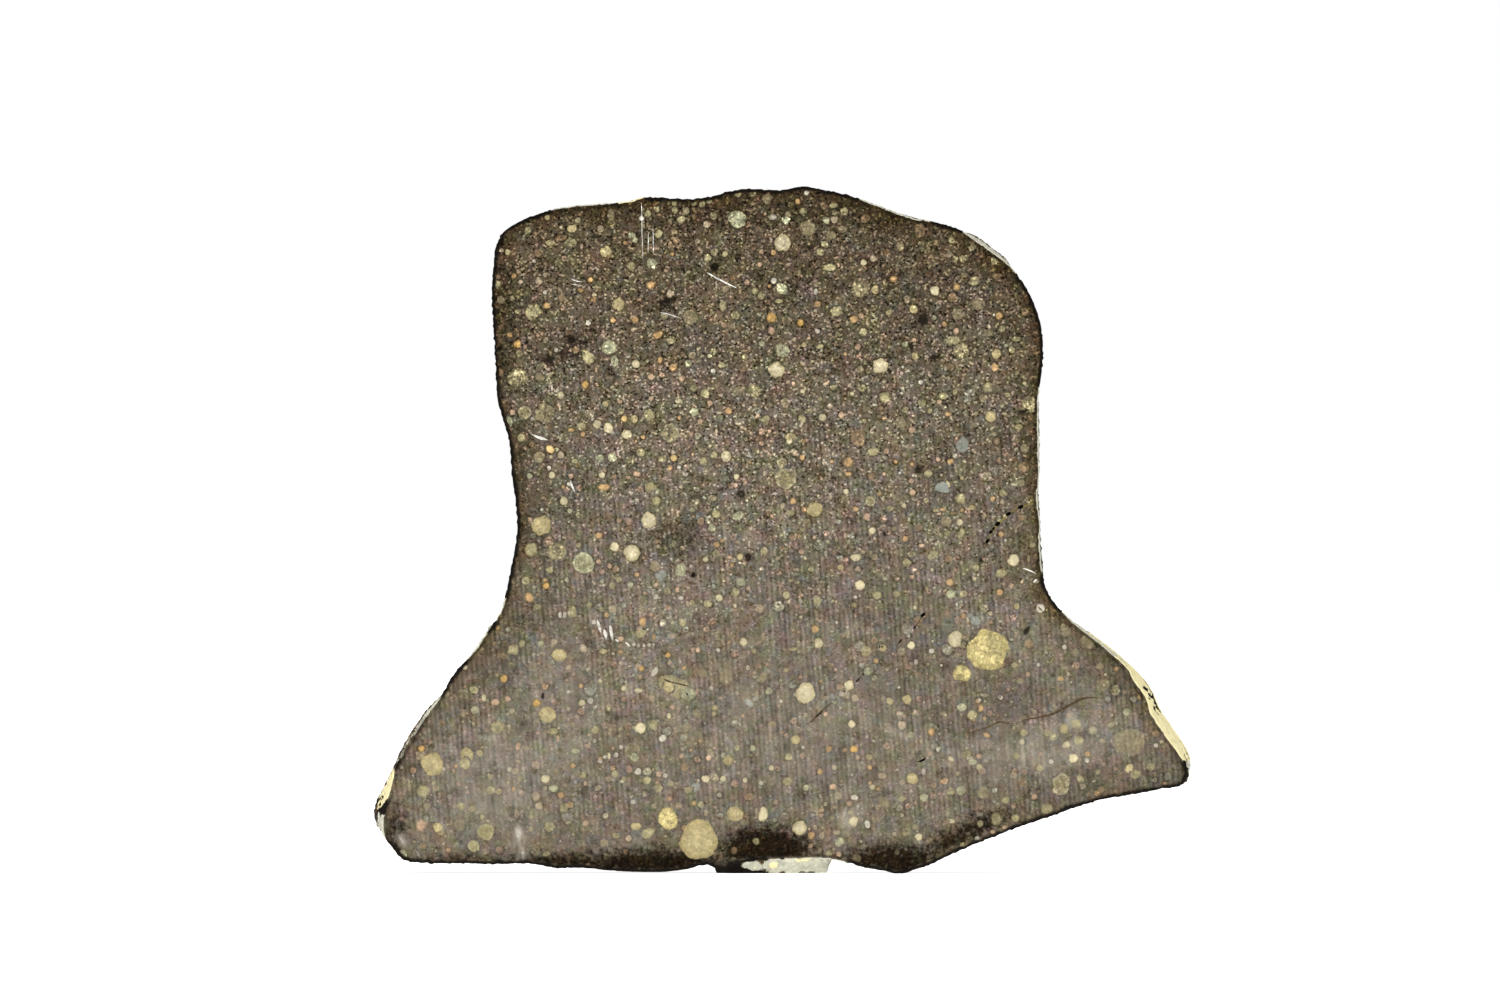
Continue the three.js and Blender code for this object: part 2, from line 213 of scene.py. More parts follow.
        (738, 219, 9.5), (826, 220, 3.5), (782, 289, 6, 0.85), (651.5, 263, 5.7), (609.5, 348, 7.8),
        (614, 361, 5, 0.67), (507, 422, 6.5), (688, 363.5, 3.7), (600, 458, 4.5), (612.5, 457, 5),
        (782.5, 350, 7.2, 1.25, -45), (680.5, 570, 7, 0.87), (694, 412, 4), (698, 436, 3.5), (758, 465, 2.7),
        (762, 343.5, 3), (934, 318, 2.7), (905.5, 344, 3), (738, 516, 5, 1.5, 30), (712.5, 528, 4),
        (692, 510, 2.5), (741, 582, 4.5, 1.25), (828, 541.5, 2), (819, 541, 2, 1.6), (836.5, 540, 2, 0.7),
        (848.5, 541.5, 2), (950.5, 594.5, 5), (868.5, 671, 4.3), (769, 691, 3.5), (911, 735, 3.5),
        (961.5, 707.5, 4.5), (1126.5, 712, 3.7), (1111, 725, 3.2, 1.6), (576, 751, 3.5, 2), (475, 710, 4),
        (541, 643.5, 3), (570, 511, 2.5), (529.5, 476, 3), (556.5, 449.5, 2.3), (635, 240, 3), (631, 235, 4),
        (709.5, 356, 2.3), (885, 578.5, 2.6, 1.75, -35), (554, 788, 4.2, 1.3), (403.5, 854, 4.4),
        (716, 789.3, 2.6), (806, 788, 3.4), (840, 842, 4.8), (876, 755, 2.8, 0.7), (924, 797.5, 4.1),
        (960.7, 790.7, 5), (972, 762, 3.8, 1.4), (688, 694, 7.6, 1.15), (634.5, 757.5, 4.6),
        (786, 220.5, 4.2), (630.5, 585, 3.2), (752.5, 748, 3),
    ],
    "shell": [
        (584, 563, 11),
    ],
    "rimmed": [
        (486, 832, 8.8), (473.5, 846, 6),
    ],
    "amber": [
        (504, 678.5, 4.2), (536.5, 703, 4.2), (421.5, 748.5, 3.5), (641.5, 668.5, 3.2), (853.8, 749, 3.9),
        (668, 655, 3), (585, 384.5, 3.7), (517.5, 344, 4), (771.5, 318, 5.5), (546, 586, 3.3),
        (800.5, 322.5, 4),
    ],
    "gold": [
        (674, 458, 3.5), (550, 449.5, 4.5), (624, 419, 3.5),
    ],
    "pink": [
        (939, 402, 2.5), (771.5, 516, 1.8), (651, 377, 3.2), (793.5, 383.5, 2), (735.5, 485, 2.4),
        (698, 650, 2.7), (922, 545.5, 2.4, 1.5), (677.5, 589.5, 2.6, 0.75), (621, 639, 3), (884, 474, 2),
        (938, 459.5, 2.3), (708.5, 758, 2.9), (825.5, 714, 2.3), (729.5, 557.5, 2.1, 1.5),
    ],
    "smear": [
        (518.5, 833, 6.5, 2.6, 93), (523, 852, 4.4, 3.6, 95), (401.5, 840, 3, 5, -58),
        (418, 854, 2.4, 3, -65), (845, 811, 4, 2.4, 80), (858, 806, 3, 2.4, 80), (640, 270, 2, 3, 80),
    ],
    "blue": [
        (962.5, 445, 7, 0.87), (943, 487, 7.2, 1.25, -20), (661, 575, 6), (749, 703, 4.2, 2, -45),
        (976, 621, 5), (971, 616, 3.5, 1.3), (651, 436, 1.9, 1.5), (696, 787, 4.4),
    ],
    "white": [
        (772.5, 217, 3.5), (773.5, 281, 3), (815.5, 291.5, 2.6, 0.75), (806.5, 193, 2.3), (641.5, 218.5, 2.7),
        (534, 261, 1.7), (545, 292.5, 2), (556.5, 299, 1.7, 2), (588, 323, 2.7), (575, 321.5, 1.3),
        (556, 350, 2), (553, 267.5, 1.3), (628, 357, 1.9, 2.5), (593, 419.5, 1.8), (549, 468, 2.3),
        (569, 484, 2.3), (679, 467.5, 1.8), (817.5, 331.5, 2.4), (782, 422, 1.3), (713, 371, 2.5),
        (714, 378.5, 1.6, 2.5), (921, 382.5, 2.3), (903, 367, 1.5), (911, 385.5, 1.3), (956, 455, 1.3),
        (874.5, 427, 1.5), (875, 405, 1.9, 1.6), (994, 315, 1.3), (656, 597, 2.7), (681, 598, 2.4, 1.5),
        (708, 568, 1.5), (855.5, 597, 1.8), (1005.5, 540.5, 1.5), (981.5, 511.5, 1.2), (893, 541, 1.5),
        (1040.5, 608.5, 4.5), (836.5, 622.5, 1.3), (931.5, 651, 2.5), (841, 694, 2), (916, 662, 2.3, 0.6),
        (718, 650, 2), (711, 688, 2), (781, 701, 1.7), (803, 747.5, 1.7), (590.5, 701, 3), (1064.5, 647, 2.3),
        (1038.5, 665, 1.8), (979.5, 700, 1.7), (560, 615, 2.3, 0.6), (564.7, 615, 2.6, 0.75), (594, 622, 2.3),
        # The row from (634, 644.5) to (653.5, 644.5) is a scratch's painted glint, drawn as white grains.
        (634, 644.5, 1.9), (638.5, 645.5, 1.9), (644, 645.5, 1.5), (649, 645, 1.9), (653.5, 644.5, 1.4),
        (569.5, 613, 1.8, 0.6), (655, 671.5, 4, 2.2, 62), (662.5, 738.5, 3.7), (605, 757, 2), (600, 761, 2.4),
        (621, 747, 2), (616, 755, 2.4), (637.8, 771.7, 3.5), (665.5, 775.5, 2.3), (633, 802, 2.4),
        (867.6, 824.3, 3.4, 0.7), (854.5, 797.5, 3.2, 1.6), (923.5, 772, 2.6, 0.6), (938, 749.5, 1.8),
        (1051.4, 761.6, 2.3), (1087, 760.5, 2.2), (1155.7, 745.4, 2.2), (977, 838.4, 2.4), (441, 761, 1.5),
        (443.5, 769, 2), (761, 783, 2), (568, 692, 2), (532.5, 419, 2),
    ],
    "tan": [
        (873, 258.5, 3.5), (907.5, 299.5, 3.8), (539, 281, 4), (545.5, 275, 2.7), (949, 254.5, 3),
        (689, 603.5, 3.5), (612.5, 608.5, 4.5), (672, 636, 4, 1.6), (829.5, 497.5, 2.7),
        (796, 569.5, 2.6, 1.7), (738, 542, 2.4, 1.5), (858, 569.5, 3), (760, 609, 5), (820, 593, 2),
        (778, 558.5, 2.4, 1.5), (905, 454, 3), (583, 648, 4.5), (536, 765, 4.5), (615, 692.5, 2.7),
        (568.5, 667.5, 3), (591.5, 682, 2), (512, 711.5, 3), (447, 694, 3), (638, 667, 4), (621, 663.5, 2.5),
        (610.5, 672, 2), (554, 642, 3.5), (543, 635.5, 2.7), (961.5, 563, 2.4, 0.67), (1002, 501.5, 2.5),
        (939.5, 542.5, 1.9, 1.6), (895.5, 519, 2), (1035, 712, 2.5), (1068.5, 716, 3), (1044.5, 670.5, 2.5),
        (985, 695.5, 2.6, 2.3), (1016, 635, 2.8, 0.5), (855, 698, 4), (826, 698, 2.5), (902, 725, 4.5),
        (757, 694, 3), (760, 696.5, 2.3), (737, 693, 2.4, 0.67), (806, 715, 2.5), (734, 738, 2),
        (561, 455, 3.7, 0.87), (640, 269, 3), (707, 225, 4), (601, 229, 4), (526.5, 748.5, 3),
        (589, 745.5, 2.8, 0.5), (827.5, 371, 2.4, 1.5), (830, 406, 3), (436, 788, 3.5), (515, 771, 4),
        (491, 777, 3), (545, 788, 2.5), (536, 796.5, 5, 0.85), (539, 806, 4), (516.5, 814, 3.6, 0.5),
        (568.5, 709, 2), (577, 717, 2.2), (652, 698, 4), (683, 749, 2.5), (598, 788, 3.8, 1.5, 20),
        (573, 795, 1.8), (654, 806, 3), (678.7, 805.7, 3.5), (706, 812.5, 3.2, 0.7), (775.7, 801.7, 2.5),
        (822, 835.8, 3.4, 0.7), (836.5, 832.5, 3, 2), (838, 796, 4.4, 0.85), (834.3, 767, 3),
        (882, 775.8, 4, 1.35), (902.5, 782.3, 3.4), (673, 666, 2.2), (1014, 775, 4), (1083, 786.3, 3.5),
        (738.5, 773, 2), (1103, 741, 3), (628.5, 838.5, 3.4), (501.5, 250.5, 2.3), (546, 340, 3),
        (520.5, 282, 2.5), (783, 505.5, 3), (670, 293.5, 4.5), (834.5, 219.5, 4),
    ],
    "orange": [
        (798, 201.5, 3.5), (773.5, 252.5, 3), (893.5, 279, 4, 1.3), (817.5, 304, 4), (854, 319.5, 4.5, 1.25),
        (769.5, 286, 2), (957, 287, 3.8), (999, 316, 4), (944.5, 324, 3), (995, 367, 4.3), (510, 335, 3),
        (514, 276, 3), (580.5, 290, 3), (593.5, 299.5, 3), (590.5, 280, 3), (546.5, 306, 3.7), (583, 434, 3),
        (643, 437, 2.7), (670, 468, 3), (660, 360, 3, 0.7), (673, 367, 4.5), (571, 430, 2.8, 2),
        (679, 418, 2), (728.5, 411, 4), (848.5, 462.5, 5.7), (848.5, 474, 3.2, 1.6), (832, 461.5, 2.2),
        (845.5, 354, 2), (802, 457.5, 3), (750, 462.5, 1.7), (950.5, 461.5, 3.5, 1.3), (896, 462, 2.3),
        (912, 464, 2), (948, 414, 3.5, 1.3), (599, 535.5, 4), (529, 597, 5.5, 0.83), (637, 574.5, 2.7),
        (642.5, 622, 5.2, 0.75), (606.5, 615, 3), (654, 637, 2.6, 0.57, 20), (604, 487, 5.3, 1.75),
        (563, 487, 2.2), (657, 541.5, 2), (855.5, 509, 3), (793, 501, 4), (879.5, 493.5, 2.8),
        (722, 541, 2.6, 2.4, 25), (716.5, 544.5, 3.5), (732, 565, 2.5), (943, 509.5, 2.8, 2),
        (953.5, 513, 2.4, 1.5), (905.5, 539, 3.2), (992.5, 499, 3), (1001, 534, 3), (949.5, 582.5, 4.2),
        (999.5, 592, 4), (963.5, 616.3, 3), (962, 510, 2), (620.5, 652, 3), (581, 686, 3), (498, 628, 2.5),
        (981, 708.5, 3.5, 0.75), (984.5, 718.5, 2.4, 0.67), (931.5, 732, 4.4), (987, 735, 3.5, 2, -30),
        (1060.5, 678.5, 3.5, 1.3), (1116.5, 669, 3, 1.4), (1139, 697, 2.5), (815.5, 629, 4.5), (876, 661, 3),
        (743, 715.5, 2), (829, 749, 3.5), (845, 750, 2.5), (821, 681, 2), (690.5, 750, 2), (651, 285, 5),
        (625, 243, 2.5), (612.5, 320, 3), (635, 319.5, 4.5), (672, 254, 2), (684, 668, 2.6), (573, 766, 3),
        (456, 766, 2.4), (561, 795, 3.7), (669.5, 798.8, 2.8), (694, 803, 3), (811.3, 835.5, 4.3),
        (869.7, 767.5, 3), (820, 771.5, 3.4), (1087.5, 754, 3.5), (942, 781.5, 2.4), (700, 741, 2),
        (513.5, 789, 2.5), (878, 789, 2.2), (658, 335, 5, 1.5, 35),
    ],
    "salmon": [
        (761.5, 252, 3), (760, 264.5, 3), (861.5, 315.5, 3.5), (747, 282.5, 3), (765, 214, 1.7),
        (771, 330.5, 4.2, 0.75), (838, 265, 2.5), (564, 258.5, 3), (538, 335, 2), (542, 334, 1.7),
        (571, 350, 2), (682, 378, 3.5), (651.5, 398.5, 3), (637, 474, 3.5, 1.3), (628, 477.5, 2.4, 1.5),
        (620, 402, 2.5), (662, 375, 3), (512, 412, 3), (525, 448, 2), (571, 476, 3), (795.5, 453.5, 3),
        (762, 431.5, 4), (769.5, 431, 2), (761.5, 443.5, 2.7), (710, 403, 3), (700, 421, 3),
        (757.5, 416, 2.4, 1.5, 45), (841, 415, 3.5, 0.75), (858, 347, 3.5), (745.5, 482, 2.5, 0.67),
        (691, 434, 2.3), (886.5, 451, 3.2), (912, 430, 3.5), (911.5, 481, 3), (912.5, 492.5, 3.5),
        (530, 519.5, 2.5), (619, 520.5, 3), (598.5, 561.5, 2.7), (609.5, 566, 2.7), (651, 614.5, 2.3),
        (594.5, 583, 2), (656, 585, 2.7), (693.5, 516.5, 1.7), (593, 631, 2.2), (668, 608, 3),
        (801.5, 551.5, 3.2), (846, 559.5, 2.5), (867, 516.5, 4), (748.5, 588.5, 2.3), (780, 573, 2),
        (912, 577, 2.5), (918, 573, 2), (955, 570, 2), (1011.5, 586, 3), (497, 675, 2.3),
        (495, 702, 4.2, 1.4), (507.5, 699, 3.5, 1.3), (518, 746, 4, 1.8, 75), (558, 739, 2.6, 0.43),
        (573.5, 674, 2.3), (567, 680, 2), (613, 748.5, 2), (991, 622.5, 2), (1028, 674.5, 3),
        (1041.5, 722.5, 2), (817, 619, 2), (898, 713.5, 2), (904, 716, 2), (693, 650, 2.5), (767, 664.5, 2),
        (754, 673, 2.5), (720.5, 698, 2), (714.5, 747.5, 2), (832, 665, 2), (835.5, 669.5, 2), (724, 325, 3),
        (956, 331, 3.5), (914, 340, 2.5), (454, 771, 2.3, 0.6), (421, 825, 6), (519, 762, 2.4),
        (681.7, 756, 2.7), (658.7, 774, 3.2), (672.5, 707, 3), (640, 677, 2.4), (669.5, 663, 2.4),
        (600.5, 806.5, 2.8), (585.5, 823, 3.4), (697, 691.5, 3, 0.6), (832.6, 786.8, 3.7),
        (821.4, 810.3, 2.8, 1.5), (810.5, 846, 2.8), (839, 854, 3.2), (858, 757.4, 2.9), (930, 754, 2.9),
        (979.3, 756.2, 3.2), (1040.7, 754.3, 2.3), (1005.4, 827.8, 3.4, 1.4), (993, 832, 2.8),
        (1034.3, 796.8, 3.4), (1165, 784, 2.4),
    ],
    "brown": [
        (920, 230, 6.9, 0.75), (952.5, 298, 5), (997, 276.5, 3.9, 1.7), (562, 298, 4), (576, 350, 4),
        (539, 253, 5), (501, 326.5, 3), (500, 373, 4), (858, 437.5, 8.5), (871, 476, 4), (996.5, 441, 3.5),
        (999.5, 461, 3.5), (1024, 467, 6), (919, 527, 4), (949, 559, 4.2), (782, 548, 2.5),
        (834, 552, 2.4, 0.67), (701, 521, 4), (918, 621, 5), (917, 674, 3.2, 2.5), (797, 606, 2.5),
        (751, 675, 3), (503, 656, 3.5, 1.3), (494.5, 644, 3), (442, 723, 4), (1029, 643.5, 5),
        (992.5, 706, 2.5), (1037, 557, 4), (1022, 518, 3.9, 1.7), (629, 529, 4), (1125, 692, 2.5),
        (413, 770, 3.5), (423, 846, 4), (441, 840, 2.5), (684.5, 767, 4.6), (749.3, 797, 4.8, 1.3),
        (698, 672, 5.4), (1022, 781, 5), (946, 821, 2.8), (1155.7, 733.6, 4), (865, 218.5, 4.7),
        (676, 241, 3.5), (949, 367, 5, 1.5), (734, 850.5, 3.4), (823.5, 206, 4.2), (755, 405, 2.4, 1.5),
        (513.5, 253, 2.5), (1025, 312, 4), (1186, 778, 3), (1101.3, 789.4, 3.4), (560, 238, 3.9, 1.7),
        (564, 237, 3), (736, 467, 2.5), (498, 277, 3), (672, 245, 4),
    ],
    "ringed": [
        (786, 478, 11), (782, 463, 5), (870.5, 501.5, 5), (716, 554, 4), (524.5, 412.5, 7), (670, 433, 9.3),
        (633, 750.5, 7.8), (911.5, 554, 3.5, 1.3), (580, 533, 3), (573, 725, 2.5), (1060.5, 784.5, 9.9, 0.82),
    ],
    "dull": [
        (807, 523, 5), (946.5, 521, 5.5), (845, 499, 4), (539, 457, 6), (655, 566, 6), (900, 422, 6),
        (1024.5, 448, 4.5), (874.5, 557, 3.5), (561.5, 718, 5), (957, 655, 3.5, 1.3), (1066, 632, 5.8),
        (1100, 666.5, 4), (1075, 652.5, 4), (1063, 695, 4), (931.5, 678, 3), (702, 673, 5), (726, 677, 8),
        (762, 678, 4.9, 1.5, 50), (739, 391, 5), (692, 355, 4), (860, 369, 4), (460, 825, 6.5),
        (1129.5, 743, 15.8, 1.15), (556, 771, 3), (531, 817, 3), (577, 774, 3.4, 2), (505, 700, 4),
        (604, 843, 4.6), (744, 822, 3.6), (965, 275, 3), (788, 214, 3), (972.5, 247, 4), (1165, 745.4, 2.3),
        (958, 314, 6.5), (834.5, 212.5, 3), (897, 852.5, 2.6), (687, 727, 4.6), (578, 220, 3), (714, 252, 4),
        (856.5, 858, 4.8), (807, 228.5, 8.5), (785, 402, 5), (697, 713, 5), (831, 235, 5),
        (842, 229, 4.2, 1.4), (685.5, 211, 4), (501, 300, 4), (767, 198.5, 5.5), (1020.5, 483, 4),
        (540, 377, 5), (611, 215, 5, 0.6), (983.5, 398, 4.5), (884.5, 801.5, 6, 1.7, -50), (712, 498, 4, 1.7),
        (512, 298, 3), (988, 333, 4.7, 1.4), (916, 827.5, 3.6, 1.3), (725, 289, 4), (978, 303.5, 7.5, 1.15),
        (983.3, 792.5, 7), (1103, 685, 7), (1087.5, 641.5, 7.8), (690, 318, 8),
    ],
    "black": [
        # The ones at (571.5, 339.5), (549, 360), (924, 319), (662, 304) and (667.5, 301) are pits drawn flat,
        # their black painted shade.
        (571.5, 339.5, 5.5), (549, 360, 5.5), (924, 319, 7.5, 0.75), (811, 247, 3), (935, 357, 4.5, 1.6),
        (911, 346, 4.2, 0.5), (541, 270, 2.5), (662, 304, 2.5), (667.5, 301, 4), (1022, 412, 3.9, 2.4),
        (918, 470, 4), (748, 557, 5.5, 0.83), (741, 494, 5), (884.5, 533.5, 2.6, 0.57), (981, 560, 2.4, 0.67),
        (542.5, 696, 2.4, 0.38), (1026.5, 630, 4.2, 2, 65), (880.5, 647, 2.2), (864, 674, 1.5),
        (844, 691.5, 1.5), (643, 629, 1.2), (703.5, 521.5, 1.5), (686, 694.5, 2.3),
    ],
    "pit": [
        (715, 267, 4.5), (693.3, 575, 2.2),
    ],
    "shade": [
        (832, 282, 6), (523, 723, 6), (617, 718, 5), (815, 470, 6, 1.4), (975, 262, 6), (953, 274, 8),
        (1018, 534, 6.3, 1.5), (583, 716, 3), (754, 483, 5), (563, 316, 4), (923, 327.5, 4.5, 1.3),
        (649, 822, 7), (640, 851, 5), (736, 835, 6), (703, 723, 4), (669, 834, 4), (501, 853, 4.6),
        (994, 551, 5), (627, 487.5, 4), (792, 552, 2.5), (605.5, 862, 7, 1.5),
    ],
}

# Stained lines, cracks and scratches: a half width in millimetres, and the points that it follows, counted in
# the grains' steps.
SEAMS = {
    "ochre line": [(0.045, [(1037, 502), (1021, 507), (1009, 514), (998, 524), (992, 532), (984, 543)])],
    "stain line": [
        (0.022, [(928, 611), (923, 615), (916, 626), (913, 629)]),
        (0.03, [(903, 638), (897, 645)]),
        (0.03, [(864, 674), (860, 678), (855, 683)]),
        (0.04, [(834, 701), (825, 708), (814, 719), (803, 727)]),
        (0.06, [(1104, 698), (1085, 698), (1070, 705), (1055, 713), (1045, 716), (1035, 718), (1025, 720),
                (1018, 723.5)]),
        (0.035, [(1018, 723.5), (1008, 723), (1000, 722), (994, 724), (985, 728), (975, 731), (965, 734)]),
        (0.045, [(663, 679), (668, 681), (673, 682.5)]),
        (0.05, [(669, 682), (680, 684), (690, 686.5)]),
        (0.03, [(1038, 606), (1040, 608.5), (1043, 611)]),
    ],
    # Open cracks: sunk, and painted near-black as their shade.
    "crack": [(0.05, [(917, 761.5), (920, 761.5), (923, 760), (926.5, 757)])],
    # The scratches are painted near-white, a painted glint.
    "scratch": [
        (0.02, [(641.5, 197), (642, 230), (643, 262)]), (0.022, [(648.5, 232), (648, 254)]),
        (0.022, [(653, 226), (653.5, 256)]), (0.035, [(706, 272), (721, 280.5), (737, 288)]),
        (0.03, [(659, 312), (671, 315), (683, 319)]), (0.025, [(570, 278), (576, 281), (583, 282)]),
        (0.025, [(571, 284), (583, 286)]), (0.055, [(531, 434), (540, 438), (548, 440)]),
        (0.055, [(570, 480), (572.5, 487), (575, 493)]), (0.03, [(552, 384), (552, 392)]),
        (0.03, [(557, 387), (557, 393)]), (0.03, [(1022, 568), (1030, 570.5), (1037, 574)]),
        (0.045, [(1033, 583), (1037, 579)]),
    ],
}
GAPING_KIND = "ochre line"      # a line of this kind gapes in places
GAPE_WIDTH, GAPING_SHARE = 0.02, 0.5    # half the width of a gape, and the share of the line that gapes
SEAM_JITTER, GAPING_JITTER, JITTER_SPACING = 0.015, 0.05, 0.35  # how far a line strays, and over what length
# Where the random numbers of the lines, the open spots and the strokes start.
LINE_SEED, LINE_SEED_STEP, SPOT_SEED, STROKE_SEED = 100, 17, 300, 400
# Open spots along the cracks: (right, down, half length, half width, turn).
CRACK_SPOTS = [
    (1020.8, 507, 3.4, 1.7, 32), (1008.5, 514, 3.2, 1.8, 32), (997.7, 524, 3.2, 2.0, 36),
    (993.5, 528.5, 2.2, 1.0, 45), (990.8, 532, 2.6, 1.6, 50), (987.3, 541, 3.0, 1.5, 55),
    (923, 615, 3.2, 1.6, 45), (914.5, 627.5, 2.2, 0.8, 45), (900, 641.5, 3.2, 0.8, 50),
    (857.5, 680.5, 3, 0.8, 45), (819, 714, 5, 0.7, 44),
]
# Strokes that a slipped saw left: (right, down) at the top, the same at the foot, and the half width.
# They are drawn as white scratches, a painted glint.
STROKES = [
    (597, 619, 601, 633, 1.3), (604, 629, 606.5, 639, 1.6), (610, 625, 612.5, 640, 1.6),
    (615, 639, 619, 642, 0.9), (625, 642, 630, 646, 0.7),
]

# Soft dark patches and pale smears of the front face: (x, z, half length, half width, turn, strength),
# millimetres. The first seven dark ones make the face darker along its foot and lower corners, the one at
# (-14.0, 27.0) along its left edge and the last along its top edge; the rest are stains.
DARK_BANDS_AND_STAINS = [
    (-0.8, 1.2, 2.9, 1.5, 0, 1.0), (5.0, 0.5, 3.2, 1.1, 8, 1.0), (-6.5, 0.3, 4.5, 1.15, 0, 1.0),
    (-11.0, 0.3, 4.5, 0.8, 0, 0.9), (-16.0, 0.5, 3.5, 0.6, 0, 0.6), (9.0, 2.0, 3.5, 0.7, 24, 0.75),
    (-19.3, 2.2, 0.7, 1.6, 0, 0.6), (-5.3, 16.7, 1.4, 1.7, 100, 0.36), (-10.6, 26.2, 1.6, 0.8, 40, 0.5),
    (-5.8, 28.6, 0.9, 0.6, 30, 0.5), (-2.3, 20.1, 0.6, 0.9, 100, 0.35), (-14.0, 27.0, 1.0, 4.5, 0, 0.35),
    (6.5, 29.0, 4.0, 1.6, -10, 0.2), (0.0, 33.0, 12.0, 1.0, 0, 0.25),
]
PALE_SMEARS = [
    (-13.2, 2.0, 0.6, 0.3, 90, 0.85), (-12.95, 1.05, 0.8, 0.2, 96, 0.6), (-19.0, 1.7, 0.5, 0.2, -60, 0.6),
    (-14.2, 4.6, 3.4, 3.0, 0, 0.22), (-13.6, 4.2, 0.6, 2.2, 0, 0.35), (3.5, 2.8, 0.8, 0.7, 20, 0.4),
    (-11.0, 8.0, 2.5, 3.5, 0, 0.14), (0.5, 7.0, 8.0, 4.0, 0, 0.1), (13.2, 6.2, 4.2, 1.5, 15, 0.26),
    (14.5, 7.2, 0.5, 1.3, 0, 0.45), (10.0, 5.6, 3.0, 1.6, 15, 0.2),
]

# ---- What covers the rim ----

# A coat on the rim runs between two places of the front edge, (x, z) in millimetres, going round from the
# foot by the left, the top and the right, and from one depth behind the front face to another.
Coat = namedtuple("Coat", "coat start end front back strength")
COATS = [
    Coat("cream", (-19.8, 3.75), (-19.4, 4.95), 3, 5, 1.0),
    Coat("pale", (-19.9, 1.9), (-19.98, 2.75), 0, 5, 0.8),
    Coat("pale", (-19.1, 5.9), (-17.2, 8.8), 0, 5, 0.45),
    Coat("pale", (-15.7, 10.9), (-15.0, 11.9), 0, 5, 0.8),
    Coat("pale", (-14.3, 12.8), (-14.0, 13.6), 0, 4, 0.8),
    Coat("pale", (-11.2, 33.3), (-8.7, 33.6), 0, 4, 0.8),
    Coat("cream", (-8.0, 33.6), (-7.1, 33.8), 0, 3, 0.9),
    Coat("pale", (4.0, 33.7), (7.3, 32.7), 0, 5, 0.6),
    Coat("pale", (9.2, 32.0), (11.6, 30.2), 0, 4.4, 0.95),
    Coat("pale", (12.93, 24.2), (13.0, 15.2), 0, 5, 0.7),
    Coat("pale", (14.1, 13.0), (15.9, 11.5), 0, 7, 0.85),
    Coat("cream", (15.6, 11.8), (20.1, 5.6), 0, 7, 1.0),
    Coat("dark", (18.1, 9.0), (18.5, 8.0), 2.2, 5, 0.9),
    Coat("pale", (16.9, 10.7), (17.6, 9.8), 2.2, 5, 0.8),
    Coat("dark", (20.1, 5.6), (20.34, 5.0), 0, 1.5, 0.7),
    Coat("pale", (20.1, 5.6), (20.3, 4.6), 1.0, 5, 0.6),
]
# Patches on the rim behind the front face, which lie over the coats: the coat, then (x, z, half length, half
# width, turn, strength). The foot's come first, then the left slope's and corner's, then the right ones.
RIM_PATCHES = [
    ("pale", (-1.5, 0.3, 0.6, 0.2, 0, 0.45)), ("pale", (-0.37, 0.36, 0.5, 0.4, 0, 1.4)),
    ("pale", (0.45, 0.36, 0.6, 0.4, 0, 1.4)), ("pale", (1.35, 0.45, 0.9, 0.36, 4, 1.4)),
    ("cream", (-0.4, 0.36, 0.24, 0.15, 0, 1.2)), ("cream", (1.1, 0.62, 0.5, 0.1, 4, 1.2)),
    ("pale", (2.5, 0.4, 0.8, 0.5, 0, 1.3)),
    # The foot's two dark patches are painted shadow under the foot.
    ("dark", (-2.75, 0.35, 0.75, 0.55, 0, 1.2)), ("dark", (-1.6, 0.04, 0.9, 0.12, -5, 1.2)),
    # The dark patch at (-20.35, 3.55) is painted shadow on the rim at the left corner.
    ("pale", (-17.7, 8.4, 0.7, 0.25, 50, 1.4)), ("dark", (-20.35, 3.55, 0.5, 0.8, -10, 1.2)),
    ("cream", (-19.84, 4.25, 1.05, 0.26, 68, 1.6)), ("pale", (-20.3, 2.4, 0.55, 0.36, -50, 1.4)),
    ("pale", (16.05, 11.5, 2.1, 0.45, -40, 1.4)), ("cream", (17.4, 10.2, 1.1, 0.2, -45, 1.5)),
    ("cream", (18.4, 8.9, 0.7, 0.22, -66, 1.5)), ("cream", (19.5, 7.2, 1.8, 0.55, -60, 1.5)),
    ("dark", (18.43, 9.15, 0.42, 0.17, -60, 1.2)), ("bare", (20.1, 5.0, 0.8, 0.6, 0, 1.0)),
    ("dark", (20.2, 5.35, 0.22, 0.3, 0, 1.2)), ("pale", (20.52, 5.3, 0.1, 0.5, 0, 1.4)),
]
PATCH_DEPTH = 3.0               # how far behind the front face these patches reach, in millimetres
# The dark coat is dark crust in places, and painted shadow at the foot and the left corner.
COAT_NAMES = ("cream", "pale", "dark")
COAT_FADE = 0.35                # how far a coat takes to fade out beyond its ends, in millimetres
COAT_WANDER = 1.4               # its ends wander about over this distance, away from the front edge
COAT_DRIFT, DRIFT_RISE = 2.2, (0.3, 1.5)    # how far they wander, and between which depths that grows
DEEP_FADE, DEEP_FADE_FROM = 0.5, 2  # how much longer they take to fade at this depth and beyond
COAT_FRONT_FADE, COAT_BACK_FADE = 0.25, (-1.5, 0.4)     # how a coat fades in depth
PATCH_EDGE, PATCH_FADE = (0.7, 1.15), 0.5   # where a patch fades out round its middle, and in depth
PATCH_DRIFT = 0.25              # how far the patches go along with that, as a share
# Painted shade of the worn edge: the bare rim next to a sawn face is darkened, as follows.
RIM_EDGE_SHADE, RIM_EDGE_SHADE_FADE = 0.8, (0.05, 0.2)   # how dark the bare rim is next to a sawn face, and where

# ---- Sizes of the mesh, in millimetres ----

